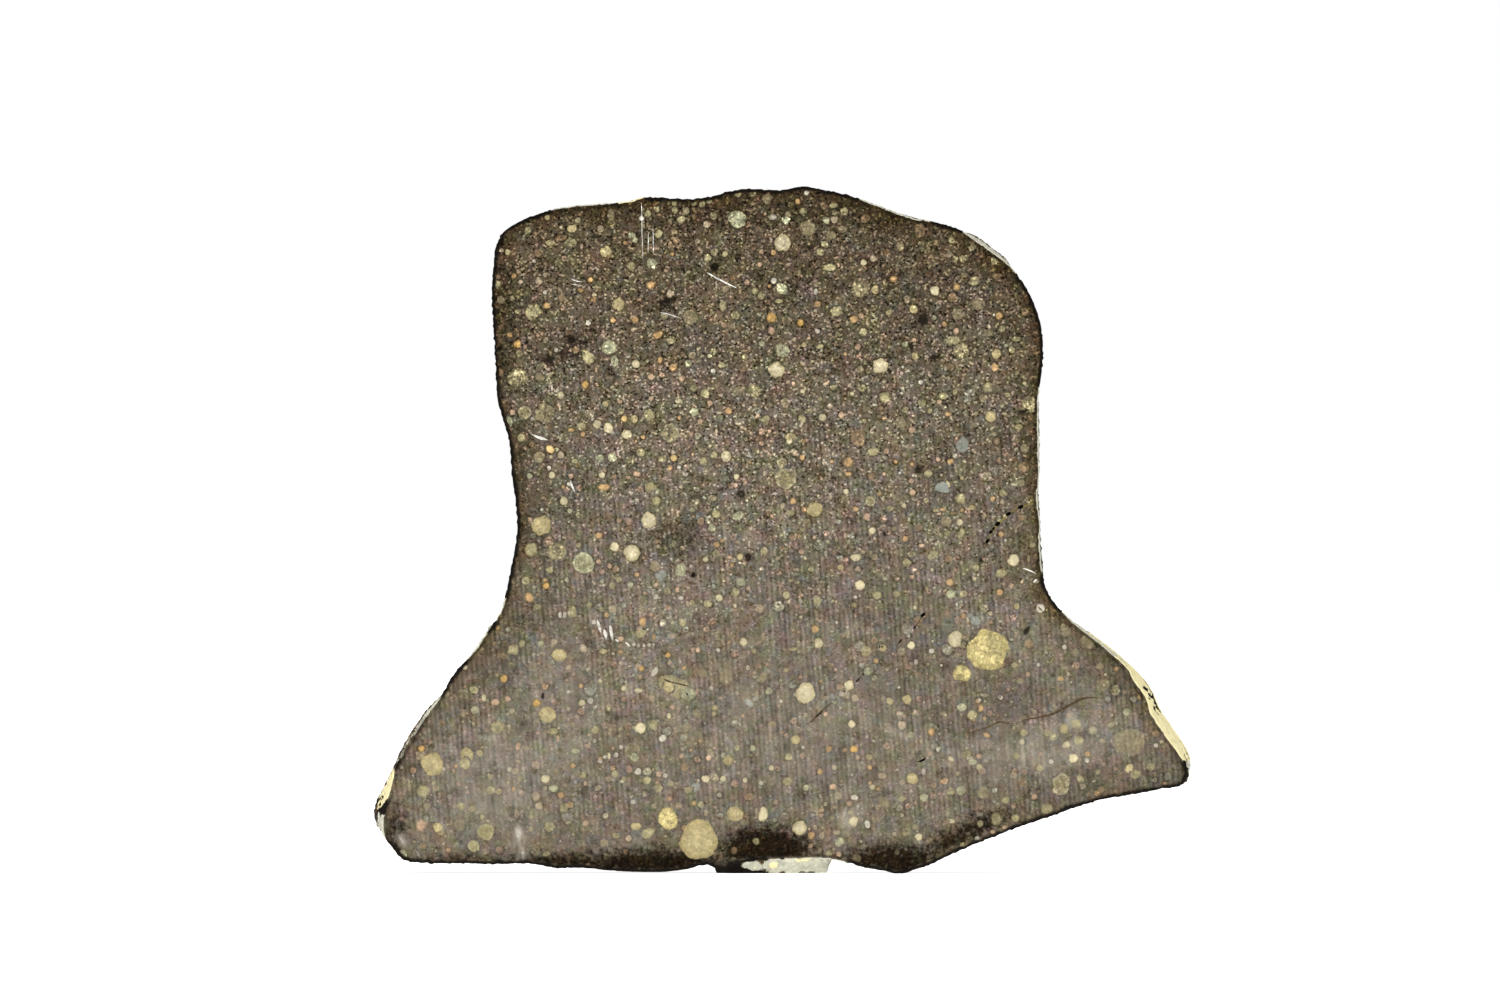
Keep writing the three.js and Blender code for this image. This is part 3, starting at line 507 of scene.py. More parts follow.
COLUMNS_PER_FACET = 4           # the rim is refined to this many columns for each facet of the CAD rim
RIM_FRONT_ROWS, RIM_FRONT_DEPTH = 12, 0.85      # the rows that show from the front lie closer
RIM_BACK_ROWS = 26
STEINER_SPACING = 0.75          # points spread over a face, so that its stains can vary from point to point
ROW_SPACING = 0.87              # their rows lie this much closer, as in even triangles
EDGE_RINGS = (0.2, 0.5, 1.0)    # rows of points that follow a face's edge
RING_THINNING, RING_CLEAR, SPREAD_CLEAR = 8, 0.85, 1.3  # which of them are kept, by the row's distance
CLEARANCE = 0.1                 # a grain that reaches the edge is cut off this far inside it
GRAIN_MARGIN = 0.1              # how far a grain's polygon stands outside the grain that is drawn in it
FEWEST_POINTS, MOST_POINTS, POINTS_PER_MM = 8, 26, 16   # of a grain's outline, by its radius
LEAST_SHARE, DRAWN_BACK = 0.1, 0.08     # an outline is drawn back from the edge to this share, in such steps
SEAM_STEP = 0.16
SEAM_REACH = 0.01               # a seam is drawn right up to its polygon's edge, and over any grain
PIT_DEPTH = 0.22
CRACK_DEPTH = 0.16
FULL_CRACK = 0.03               # a crack of less than this half width is shallower
FOOT_HEIGHT = 0.35              # the rim keeps its shape at the foot, up to this height
GIVE_AT_CUT, CUT_REACH = 0.3, 0.7       # how far it gives way next to a sawn face, and how far that reaches
COAT_SHELTER = 0.4              # how much less it gives way under a coat
# The worn edge is chipped in places: how far apart, how much wider it is there, and the two faces' seeds.
CHIP_SPACING, CHIP_WIDTH, CHIP_SEEDS = 0.6, 1.2, (3, 8)
BACK_FIELD_SEED = 41
BACK_FIELD_TRIES = 20           # how often a grain of the back face is thrown until it falls on a free spot
BACK_EDGE_GAP, BACK_APART = 0.6, 1.15   # how free that spot is, against the radii
BACK_STRETCH = (1.0, 1.35)

# The bake's layout, in dots: the front face is laid out largest.
BAKE_SIDE = 1024
BAKE_FRONT, BAKE_BACK, BAKE_RIM = 17.8, 11.5, 13.5      # dots per millimetre
BAKE_GAP = 5
RIM_STRIPS = 4


def linear(red, green, blue):
    """A colour given as it looks on a screen, 0 to 255, as Blender's linear colour with alpha."""
    shares = [c / 255 for c in (red, green, blue)]
    return tuple(c / 12.92 if c <= 0.04045 else ((c + 0.055) / 1.055) ** 2.4 for c in shares) + (1.0,)


def smoothstep(value, low, high):
    share = np.clip((np.asarray(value, float) - low) / (high - low), 0, 1)
    return share * share * (3 - 2 * share)


def wander(place, spacing, seed):
    """Smooth random numbers between about -1 and 1 that change over `spacing`."""
    return noise.noise(Vector((place[0] / spacing, place[1] / spacing, seed * 7.31)))


# ---- Grains, cracks and scratches as flat outlines ----


class Grain:
    """A grain in a sawn face: a round, slightly irregular outline with a place and a size."""

    def __init__(self, kind, x, z, radius, stretch=1.0, turn=0.0, seed=0):
        self.kind, self.x, self.z, self.seed = kind, x, z, seed
        self.long, self.short = radius * math.sqrt(stretch), radius / math.sqrt(stretch)
        self.radius, self.turn = radius, math.radians(turn)
        self.lobes = UNEVEN_LOBES if kind in UNEVEN_KINDS else LOBES

    def reach(self, angle):
        """How far the outline stands out at an angle, as a share of the radius there."""
        place = (math.cos(angle) * LOBE_CIRCLE, math.sin(angle) * LOBE_CIRCLE)
        lobes = self.lobes * wander(place, 1.0, self.seed)
        return 1 + lobes + SCALLOPS * wander(place, SCALLOP_SPACING, self.seed + 0.5)

    def outline(self):
        count = int(min(MOST_POINTS, FEWEST_POINTS + self.radius * POINTS_PER_MM))
        angles = [2 * math.pi * i / count for i in range(count)]
        return [self.at(angle, self.reach(angle) + GRAIN_MARGIN / self.radius) for angle in angles]

    def at(self, angle, share):
        along, across = self.long * math.cos(angle) * share, self.short * math.sin(angle) * share
        c, s = math.cos(self.turn), math.sin(self.turn)
        return (self.x + along * c - across * s, self.z + along * s + across * c)

    def edge(self, x, z):
        """Distance to the outline, below zero inside it."""
        return (math.hypot(*self.local(x, z)) - 1) * self.radius

    def local(self, x, z):
        """A point's place in the grain, where the outline is the unit circle."""
        c, s = math.cos(self.turn), math.sin(self.turn)
        dx, dz = x - self.x, z - self.z
        u, v = (dx * c + dz * s) / self.long, (dz * c - dx * s) / self.short
        reach = self.reach(math.atan2(v, u))
        return u / reach, v / reach

    def sink(self, x, z):
        """How deep an open pit is at a point."""
        u, v = self.local(x, z)
        return PIT_DEPTH * max(0.0, 1 - u * u - v * v)


class SeamRun:
    """One unbroken run of a crack, a stained line or a scratch: a centre line with half widths."""

    def __init__(self, kind, centre, widths, seed):
        self.kind, self.centre, self.widths, self.seed = kind, centre, widths, seed
        self.radius = SEAM_REACH / 2 if kind == "crack" else SEAM_REACH
        ahead = np.gradient(centre, axis=0)
        ahead /= np.maximum(np.linalg.norm(ahead, axis=1, keepdims=True), 1e-9)
        self.side = np.stack([-ahead[:, 1], ahead[:, 0]], axis=1)

    def outline(self):
        left = self.centre + self.side * self.widths[:, None]
        right = self.centre - self.side * self.widths[:, None]
        return [tuple(p) for p in (self.centre[0], *right[1:-1], self.centre[-1], *left[-2:0:-1])]

    def edge(self, x, z):
        return -SEAM_REACH

    def local(self, x, z):
        return 0.0, 0.0

    def sink(self, x, z):
        """How deep the crack is at a point: deepest along its centre line."""
        a, b = self.centre[:-1], self.centre[1:]
        along = b - a
        share = ((np.array([x, z]) - a) * along).sum(1) / np.maximum((along * along).sum(1), 1e-12)
        share = np.clip(share, 0, 1)
        gaps = np.linalg.norm(a + along * share[:, None] - (x, z), axis=1)
        k = int(gaps.argmin())
        width = max(self.widths[k] * (1 - share[k]) + self.widths[k + 1] * share[k], 1e-6)
        return CRACK_DEPTH * max(0.0, 1 - gaps[k] / width) * min(1.0, width / FULL_CRACK)


def field_place(right, down):
    """A place counted in steps from the field's corner, in millimetres."""
    return FIELD_CORNER[0] + right * STEP, FIELD_CORNER[1] - down * STEP


def front_grains():
    grains = []
    for kind, rows in GRAINS.items():
        for right, down, radius, *shape in rows:
            grains.append(Grain(kind, *field_place(right, down), radius * STEP, *shape, seed=len(grains)))
    return grains


def scattered_grains(loop, seed):
    """Grains for the back face: the front's mix of kinds and sizes, thrown down at random."""
    draw = np.random.RandomState(seed)
    pattern = [g for g in front_grains() if g.kind not in FRONT_ONLY_KINDS]
    low, high = loop.min(axis=0), loop.max(axis=0)
    grains = []
    for model in sorted(pattern, key=lambda g: -g.radius):
        for _ in range(BACK_FIELD_TRIES):
            x, z = draw.uniform(low, high)
            if not clear_of_edge(loop, (x, z), model.radius * BACK_EDGE_GAP):
                continue
            if all(math.hypot(g.x - x, g.z - z) > BACK_APART * (g.radius + model.radius) for g in grains):
                stretch, turn = draw.uniform(*BACK_STRETCH), draw.uniform(0, 180)
                grains.append(Grain(model.kind, x, z, model.radius, stretch, turn, len(grains)))
                break
    return grains


def inside(loop, x, z):
    a, b = loop, np.roll(loop, -1, axis=0)
    crosses = (a[:, 1] > z) != (b[:, 1] > z)
    safe = np.where(crosses, b[:, 1] - a[:, 1], 1.0)
    at = a[:, 0] + (z - a[:, 1]) * (b[:, 0] - a[:, 0]) / safe
    return bool((crosses & (x < at)).sum() % 2)


def gap_to_loop(loop, points):
    """Distance from each point to the loop, in millimetres."""
    a, b = loop, np.roll(loop, -1, axis=0)
    along = b - a
    length = (along * along).sum(1)
    gaps = np.empty(len(points))
    for i, p in enumerate(points):
        share = np.clip(((p - a) * along).sum(1) / length, 0, 1)
        gaps[i] = np.sqrt((((a + along * share[:, None]) - p) ** 2).sum(1).min())
    return gaps


def clear_of_edge(loop, spot, gap=CLEARANCE):
    """True if a spot lies inside the loop and at least `gap` from it."""
    return inside(loop, *spot) and gap_to_loop(loop, np.array([spot]))[0] >= gap


def signed_area(loop):
    """Twice the area inside a loop, above zero if it runs counterclockwise."""
    return (loop[:, 0] * np.roll(loop[:, 1], -1) - np.roll(loop[:, 0], -1) * loop[:, 1]).sum()


def curve_between(p0, p1, p2, p3, t):
    """A point on the smooth curve through four points, from the second (t = 0) to the third (t = 1)."""
    return 0.5 * (2 * p1 + (p2 - p0) * t + (2 * p0 - 5 * p1 + 4 * p2 - p3) * t ** 2
                  + (3 * p1 - p0 - 3 * p2 + p3) * t ** 3)


def smooth_line(points, step):
    """A row of points joined by a smooth curve, and cut into even steps."""
    knots = np.array(points, float)
    padded = np.vstack([2 * knots[0] - knots[1], knots, 2 * knots[-1] - knots[-2]])
    curve = [curve_between(*four, t) for four in zip(padded, padded[1:], padded[2:], padded[3:])
             for t in np.linspace(0, 1, 12, endpoint=False)]
    curve = np.array(curve + [knots[-1]])
    run = np.concatenate([[0], np.cumsum(np.linalg.norm(np.diff(curve, axis=0), axis=1))])
    at = np.linspace(0, run[-1], max(4, int(run[-1] / step) + 1))
    return np.stack([np.interp(at, run, curve[:, k]) for k in (0, 1)], axis=1)


def tapered(half_width, centre):
    """A half width for each point of a line, easing to 0 at its two ends."""
    share = np.linspace(0, 1, len(centre))
    return half_width * np.minimum(1, 4 * np.minimum(share, 1 - share))


def seam_runs(kind, half_width, points, seed):
    """A stained line, crack or scratch, and its open parts as runs of their own."""
    gaping = kind == GAPING_KIND
    centre = smooth_line([field_place(*p) for p in points], SEAM_STEP)
    jitter = np.array([[wander(p, JITTER_SPACING, seed + more) for more in (0, 9)] for p in centre])
    centre = centre + jitter * (GAPING_JITTER if gaping else SEAM_JITTER)
    size = np.array([1 + 0.5 * wander(p, 0.5, seed + 3) for p in centre])
    runs = [SeamRun(kind, centre, tapered(half_width * size, centre), seed)]
    if gaping:
        openness = np.array([wander(p, 0.45, seed + 5) for p in centre])
        start = None
        for i, gapes in enumerate([*(openness > np.quantile(openness, 1 - GAPING_SHARE)), False]):
            if gapes and start is None:
                start = i
            elif not gapes and start is not None:
                part = centre[start:i]
                if len(part) >= 3:
                    runs.append(SeamRun("crack", part, tapered(GAPE_WIDTH, part), seed + start))
                start = None
    return runs


def front_seams():
    runs = []
    seams = [(kind, *seam) for kind, rows in SEAMS.items() for seam in rows]
    for n, seam in enumerate(seams):
        runs += seam_runs(*seam, LINE_SEED + LINE_SEED_STEP * n)
    for n, (right, down, half_length, half_width, turn) in enumerate(CRACK_SPOTS):
        middle = field_place(right, down)
        along = np.array([math.cos(math.radians(turn)), math.sin(math.radians(turn))]) * half_length * STEP
        centre = smooth_line([middle - along, middle + along], STEP)
        runs.append(SeamRun("crack", centre, tapered(half_width * STEP, centre), SPOT_SEED + n))
    for n, (*top, right, down, half_width) in enumerate(STROKES):
        centre = smooth_line([field_place(*top), field_place(right, down)], SEAM_STEP / 2)
        runs.append(SeamRun("scratch", centre, tapered(half_width * STEP, centre), STROKE_SEED + n))
    return runs


# ---- The rim ----


def cad_rim(node):
    """The CAD solid's rim in millimetres, as points[row behind the front face][place round the edge]."""
    mesh = node.data
    numbers, places, welded = {}, [], []
    for vertex in mesh.vertices:
        key = tuple(vertex.co)
        if key not in numbers:
            numbers[key] = len(places)
            places.append(vertex.co / MM)
        welded.append(numbers[key])
    levels = sorted({round(p.y, 3) for p in places})
    row = [levels.index(round(p.y, 3)) for p in places]
    after, behind = {}, {}
    for face in mesh.polygons:
        corners = [welded[i] for i in face.vertices]
        rows = [row[c] for c in corners]
        if rows.count(min(rows)) == 2:
            far = rows.index(max(rows))
            before, ahead, deep = corners[far - 2], corners[far - 1], corners[far]
            behind[ahead] = deep
            if row[ahead] == 0:
                after[before] = ahead
    ring = [min(after, key=lambda v: (places[v].z, places[v].x))]
    while after[ring[-1]] != ring[0]:
        ring.append(after[ring[-1]])
    rings = [ring]
    for _ in levels[1:]:
        rings.append([behind[v] for v in rings[-1]])
    return np.array([[tuple(places[v]) for v in ring] for ring in rings])


def finer_round(grid, times):
    """Adds columns between the grid's, on smooth curves round the edge."""
    before, ahead, beyond = np.roll(grid, 1, 1), np.roll(grid, -1, 1), np.roll(grid, -2, 1)
    parts = [curve_between(before, grid, ahead, beyond, k / times) for k in range(times)]
    return np.stack(parts, axis=2).reshape(grid.shape[0], -1, 3)


def finer_through(grid, depths):
    """Rows at the given depths behind the front face, on smooth curves through the grid's rows."""
    y = grid[:, 0, 1]
    slope = np.gradient(grid, y, axis=0)
    rows = []
    for depth in depths:
        k = min(max(int(np.searchsorted(y, depth, side="right")) - 1, 0), len(y) - 2)
        h = y[k + 1] - y[k]
        t = min(max((depth - y[k]) / h, 0), 1)
        rows.append((2 * t ** 3 - 3 * t ** 2 + 1) * grid[k] + (t ** 3 - 2 * t ** 2 + t) * h * slope[k]
                    + (3 * t ** 2 - 2 * t ** 3) * grid[k + 1] + (t ** 3 - t ** 2) * h * slope[k + 1])
    return np.array(rows)


def coat_shares(grid, edge, behind):
    """How far each coat covers each point of the rim, 0 to 1, as shares[row][column][coat].

    `edge` is the front edge, and `behind` how far each row lies behind it."""
    run = np.concatenate([[0], np.cumsum(np.linalg.norm(np.diff(edge, axis=0), axis=1))])
    total = run[-1] + np.linalg.norm(edge[0] - edge[-1])
    drift = np.array([[wander((at, y), COAT_WANDER, 61) for at in run] for y in behind])
    drift *= COAT_DRIFT * smoothstep(behind, *DRIFT_RISE)[:, None]
    shares = np.zeros((len(behind), len(edge), len(COAT_NAMES)))
    for coat in COATS:
        first, last = (run[np.linalg.norm(edge - end, axis=1).argmin()] for end in (coat.start, coat.end))
        length = (last - first) % total
        offset = (run - first) % total
        outside = np.where(offset <= length, -np.minimum(offset, length - offset),
                           np.minimum(offset - length, total - offset))
        fade = COAT_FADE + DEEP_FADE * smoothstep(behind, 0, DEEP_FADE_FROM)[:, None]
        along = 1 - smoothstep(outside[None, :] + drift, 0, fade)
        front = smoothstep(behind, coat.front - COAT_FRONT_FADE, coat.front)
        back = 1 - smoothstep(behind, *(coat.back + fade_at for fade_at in COAT_BACK_FADE))
        k = COAT_NAMES.index(coat.coat)
        shares[:, :, k] = np.maximum(shares[:, :, k], coat.strength * (front * back)[:, None] * along)
    bare = 1 - shares[:, :, :2].max(axis=2)
    # painted shade along the worn edge, where the rim is bare
    painted_edge_shade = RIM_EDGE_SHADE * (1 - smoothstep(np.minimum(behind, behind[::-1]), *RIM_EDGE_SHADE_FADE))
    shares[:, :, 2] = np.maximum(shares[:, :, 2], painted_edge_shade[:, None] * bare)
    near_front = 1 - smoothstep(behind, PATCH_DEPTH, PATCH_DEPTH + PATCH_FADE)
    spots = (grid[:, :, ::2] + PATCH_DRIFT * drift[:, :, None]).reshape(-1, 2)
    for coat, patch in RIM_PATCHES:
        share = soft_patches(spots, [patch], *PATCH_EDGE).reshape(shares.shape[:2])
        share *= near_front[:, None]
        shares *= 1 - share[:, :, None] / patch[-1]
        if coat != "bare":
            shares[:, :, COAT_NAMES.index(coat)] += share
    return shares


RIM_LENGTHS = ("Hollow depth", "Hollow spacing", "Knob depth", "Knob spacing", "Grain depth", "Grain spacing")


def weathered_rim_tree():
    """Geometry Nodes that eat hollows, knobs and grain into the rim. They move it inwards only."""
    tree = bpy.data.node_groups.new("Weathered rim", "GeometryNodeTree")
    tree.is_modifier = True
    sockets = [("Geometry", "Geometry"), *((name, "Float") for name in RIM_LENGTHS), ("Seed", "Float"),
               ("Stone", "Material")]
    for name, kind in sockets:
        socket = tree.interface.new_socket(name, in_out="INPUT", socket_type="NodeSocket" + kind)
        if name in RIM_LENGTHS:
            socket.subtype = "DISTANCE"
    tree.interface.new_socket("Geometry", in_out="OUTPUT", socket_type="NodeSocketGeometry")

    make = Nodes(tree)
    given = make.add("NodeGroupInput").outputs
    place = make.add("GeometryNodeInputPosition").outputs["Position"]
    normal = make.add("GeometryNodeInputNormal").outputs["Normal"]
    give = make.add("GeometryNodeInputNamedAttribute", {"Name": "give"}, data_type="FLOAT")
    give = give.outputs["Attribute"]

    def pattern(kind, spacing, dimensions, **values):
        values["Vector"] = make.vector("SCALE", place, scale=make.math("DIVIDE", 1.0, given[spacing]))
        return make.add(kind, {**values, "W": given["Seed"]}, **{dimensions: "4D"}).outputs[0]

    hollow = pattern("ShaderNodeTexNoise", "Hollow spacing", "noise_dimensions", Detail=3.0)
    knob = pattern("ShaderNodeTexVoronoi", "Knob spacing", "voronoi_dimensions")
    grain = pattern("ShaderNodeTexNoise", "Grain spacing", "noise_dimensions", Detail=2.0)
    depth = make.times(make.smooth(hollow, 0.42, 0.78), given["Hollow depth"])
    depth = make.line(make.smooth(knob, 0.25, 0.6), given["Knob depth"], depth)
    depth = make.line(grain, given["Grain depth"], depth)
    depth = make.times(depth, give, -1.0)
    in_plane = make.vector("MULTIPLY", normal, (1.0, 0.0, 1.0))
    moved = make.add("GeometryNodeSetPosition", {"Geometry": given["Geometry"],
                                                 "Offset": make.vector("SCALE", in_plane, scale=depth)})
    real = make.add("GeometryNodeRealizeInstances", {"Geometry": moved.outputs["Geometry"]})
    coated = make.add("GeometryNodeSetMaterial", {"Geometry": real.outputs["Geometry"],
                                                  "Material": given["Stone"]})
    make.add("NodeGroupOutput", {"Geometry": coated.outputs["Geometry"]})
    return tree


def weather(grid, give, settings, material):
    """Runs the rim through the weathering nodes and returns its points, in millimetres.

    `give` says how far each point gives way to the weather, 0 to 1."""
    rows, columns = grid.shape[:2]
    mesh = bpy.data.meshes.new("rim")
    mesh.from_pydata([tuple(p * MM) for p in grid.reshape(-1, 3)], [], rim_quads(rows, columns).tolist())
    layer = mesh.attributes.new("give", "FLOAT", "POINT")
    layer.data.foreach_set("value", give.reshape(-1).astype(np.float32))
    rim = bpy.data.objects.new("rim", mesh)
    bpy.context.scene.collection.objects.link(rim)
    tree = weathered_rim_tree()
    modifier = rim.modifiers.new("Weathered rim", "NODES")
    modifier.node_group = tree
    values = {name: getattr(settings, name.lower().replace(" ", "_")) for name in RIM_LENGTHS}
    values.update({"Seed": float(settings.seed), "Stone": material})
    for item in tree.interface.items_tree:
        if item.in_out == "INPUT" and item.name in values:
            modifier[item.identifier] = values[item.name]
    bpy.context.view_layer.update()
    result = bpy.data.meshes.new_from_object(rim.evaluated_get(bpy.context.evaluated_depsgraph_get()))
    points = np.empty(rows * columns * 3, np.float32)
    result.vertices.foreach_get("co", points)
    bpy.data.objects.remove(rim)
    for used in (mesh, result):
        bpy.data.meshes.remove(used)
    return points.reshape(rows, columns, 3).astype(float) / MM


def rim_quads(rows, columns):
    """Corner numbers of the rim's quads, facing outwards."""
    row, column = np.meshgrid(np.arange(rows - 1), np.arange(columns), indexing="ij")
    ahead = (column + 1) % columns
    near, far = row * columns, (row + 1) * columns
    return np.stack([near + column, near + ahead, far + ahead, far + column], axis=-1).reshape(-1, 4)


def inwards(loop, reach=3):
    """Unit directions into the face from each point of its edge."""
    along = np.roll(loop, -reach, axis=0) - np.roll(loop, reach, axis=0)
    along /= np.linalg.norm(along, axis=1, keepdims=True)
    turned = np.stack([along[:, 1], -along[:, 0]], axis=1)
    return turned if signed_area(loop) < 0 else -turned


# ---- The sawn faces ----


def face_points(loop):
    """Points spread over a face and along its edge, which carry its stains."""
    inward = inwards(loop)
    points = []
    for gap in EDGE_RINGS:
        ring = (loop + inward * gap)[:: max(3, int(gap * RING_THINNING))]
        points.append(ring[gap_to_loop(loop, ring) > gap * RING_CLEAR])
    low, high = loop.min(axis=0), loop.max(axis=0)
    rows = []
    for n, z in enumerate(np.arange(low[1], high[1], STEINER_SPACING * ROW_SPACING)):
        for x in np.arange(low[0] + (n % 2) * STEINER_SPACING / 2, high[0], STEINER_SPACING):
            if inside(loop, x, z):
                rows.append((x, z))
    rows = np.array(rows)
    points.append(rows[gap_to_loop(loop, rows) > EDGE_RINGS[-1] * SPREAD_CLEAR])
    return np.vstack(points)


def kept_inside(loop, item):
    """An item's outline, with what would reach the face's edge drawn back towards its middle."""
    centre = np.array([item.x, item.z]) if isinstance(item, Grain) else None
    kept = []
    for point in np.array(item.outline()):
        spot, share = point, 1.0
        clear = clear_of_edge(loop, spot)
        while not clear and centre is not None and share > LEAST_SHARE:
            share -= DRAWN_BACK
            spot = centre + (point - centre) * share
            clear = clear_of_edge(loop, spot)
        if clear:
            kept.append(tuple(spot))
    return kept


def sawn_face(loop, items):
    """Triangles that fill a face and follow its items' outlines.

    Returns the points, the numbers of the triangles' corners, the item that each triangle lies in, and each
    point's number in the loop, or -1."""
    points = [tuple(p) for p in loop]
    faces = [list(range(len(points)))[:: -1 if signed_area(loop) < 0 else 1]]
    edges = []
    owners = [None]
    for item in items:
        ring = kept_inside(loop, item)
        if len(ring) < 3:
            continue
        faces.append(list(range(len(points), len(points) + len(ring))))
        owners.append(item)
        points += ring
        if isinstance(item, Grain):
            if clear_of_edge(loop, (item.x, item.z)):
                points.append((item.x, item.z))
            if item.kind == "pit":
                points += [item.at(a, 0.6) for a in np.linspace(0, 2 * math.pi, 9)[:-1]]
        elif item.kind == "crack":
            first = len(points)
            points += [tuple(p) for p in item.centre[1:-1]]
            edges += [(first + i, first + i + 1) for i in range(len(item.centre) - 3)]
    points += [tuple(p) for p in face_points(loop)]
    turned = [Vector(p) for p in points]
    out, _, triangles, sources, _, parents = delaunay_2d_cdt(turned, edges, faces, 1, 1e-5, True)
    corners, held = [], []
    for triangle, parent in zip(triangles, parents):
        if 0 not in parent or len(triangle) != 3:
            continue
        inner = [owners[n] for n in parent if n]
        corners.append(tuple(triangle))
        middle = sum((out[i] for i in triangle), Vector((0, 0))) / 3
        held.append(nearest_item(inner, middle) if inner else None)
    number = {s: i for i, source in enumerate(sources) for s in source if s < len(loop)}
    if len(number) != len(loop) or len(set(number.values())) != len(loop):
        raise RuntimeError("the sawn face doesn't meet the rim point for point")
    at = np.array([tuple(p) for p in out])
    rim_of = np.full(len(at), -1)
    for s, i in number.items():
        rim_of[i] = s
    used = np.unique(np.array(corners))
    loose = used[rim_of[used] < 0]
    if (gap_to_loop(loop, at[loose]) < 1e-3).any():
        raise RuntimeError("something crosses the sawn face's edge")
    return at, np.array(corners), held, rim_of


def nearest_item(items, spot):
    """The smallest item that holds a spot, or else the one whose outline is nearest to it."""
    edges = [(item.edge(*spot), item) for item in items]
    holding = [item for edge, item in edges if edge < 0]
    return min(holding, key=lambda item: item.radius) if holding else min(edges, key=lambda pair: pair[0])[1]


def soft_patches(points, patches, core=0.35, end=1.25):
    """The strongest of some soft-edged patches at each point, 0 to 1."""
    share = np.zeros(len(points))
    for x, z, half_length, half_width, turn, strength in patches:
        c, s = math.cos(math.radians(turn)), math.sin(math.radians(turn))
        dx, dz = points[:, 0] - x, points[:, 1] - z
        far = np.hypot((dx * c + dz * s) / half_length, (dz * c - dx * s) / half_width)
        share = np.maximum(share, strength * (1 - smoothstep(far, core, end)))
    return share


def strength_of(item):
    """Small grains are fainter, most of all low down, where the saw has smeared the face."""
    if not isinstance(item, Grain) or item.kind in NEVER_FAINT_KINDS:
        return 1.0
    small = 1 - smoothstep(item.radius, *FAINT_RADII)
    low = 1 - smoothstep(item.z, *FAINT_HEIGHTS)
    return 1 - small * (FAINTER + low * (BRIGHT_FAINTER_LOW if item.kind in BRIGHT_KINDS else FAINTER_LOW))


def tone_of(item):
    """An item's colour, a little lighter or darker than its kind's, and how far it covers the matrix."""
    kind = KINDS[item.kind]
    spread = TONE_SPREAD * (1 - EVEN_SHARE * smoothstep(item.radius, *EVEN_RADII))
    light = 1 + spread * (2 * ((item.seed * SEED_STEP) % 1) - 1)
    return (*(c * light for c in linear(kind.red, kind.green, kind.blue)[:3]), kind.cover * strength_of(item))


# ---- The slice ----

NO_TONE = (0.0, 0.0, 0.0, 0.0)
NO_MAKE = NO_COATS = NO_STATE = (0.0, 0.0, 0.0)
NO_PLACE = (9.0, 9.0, 1.0)      # far outside any grain


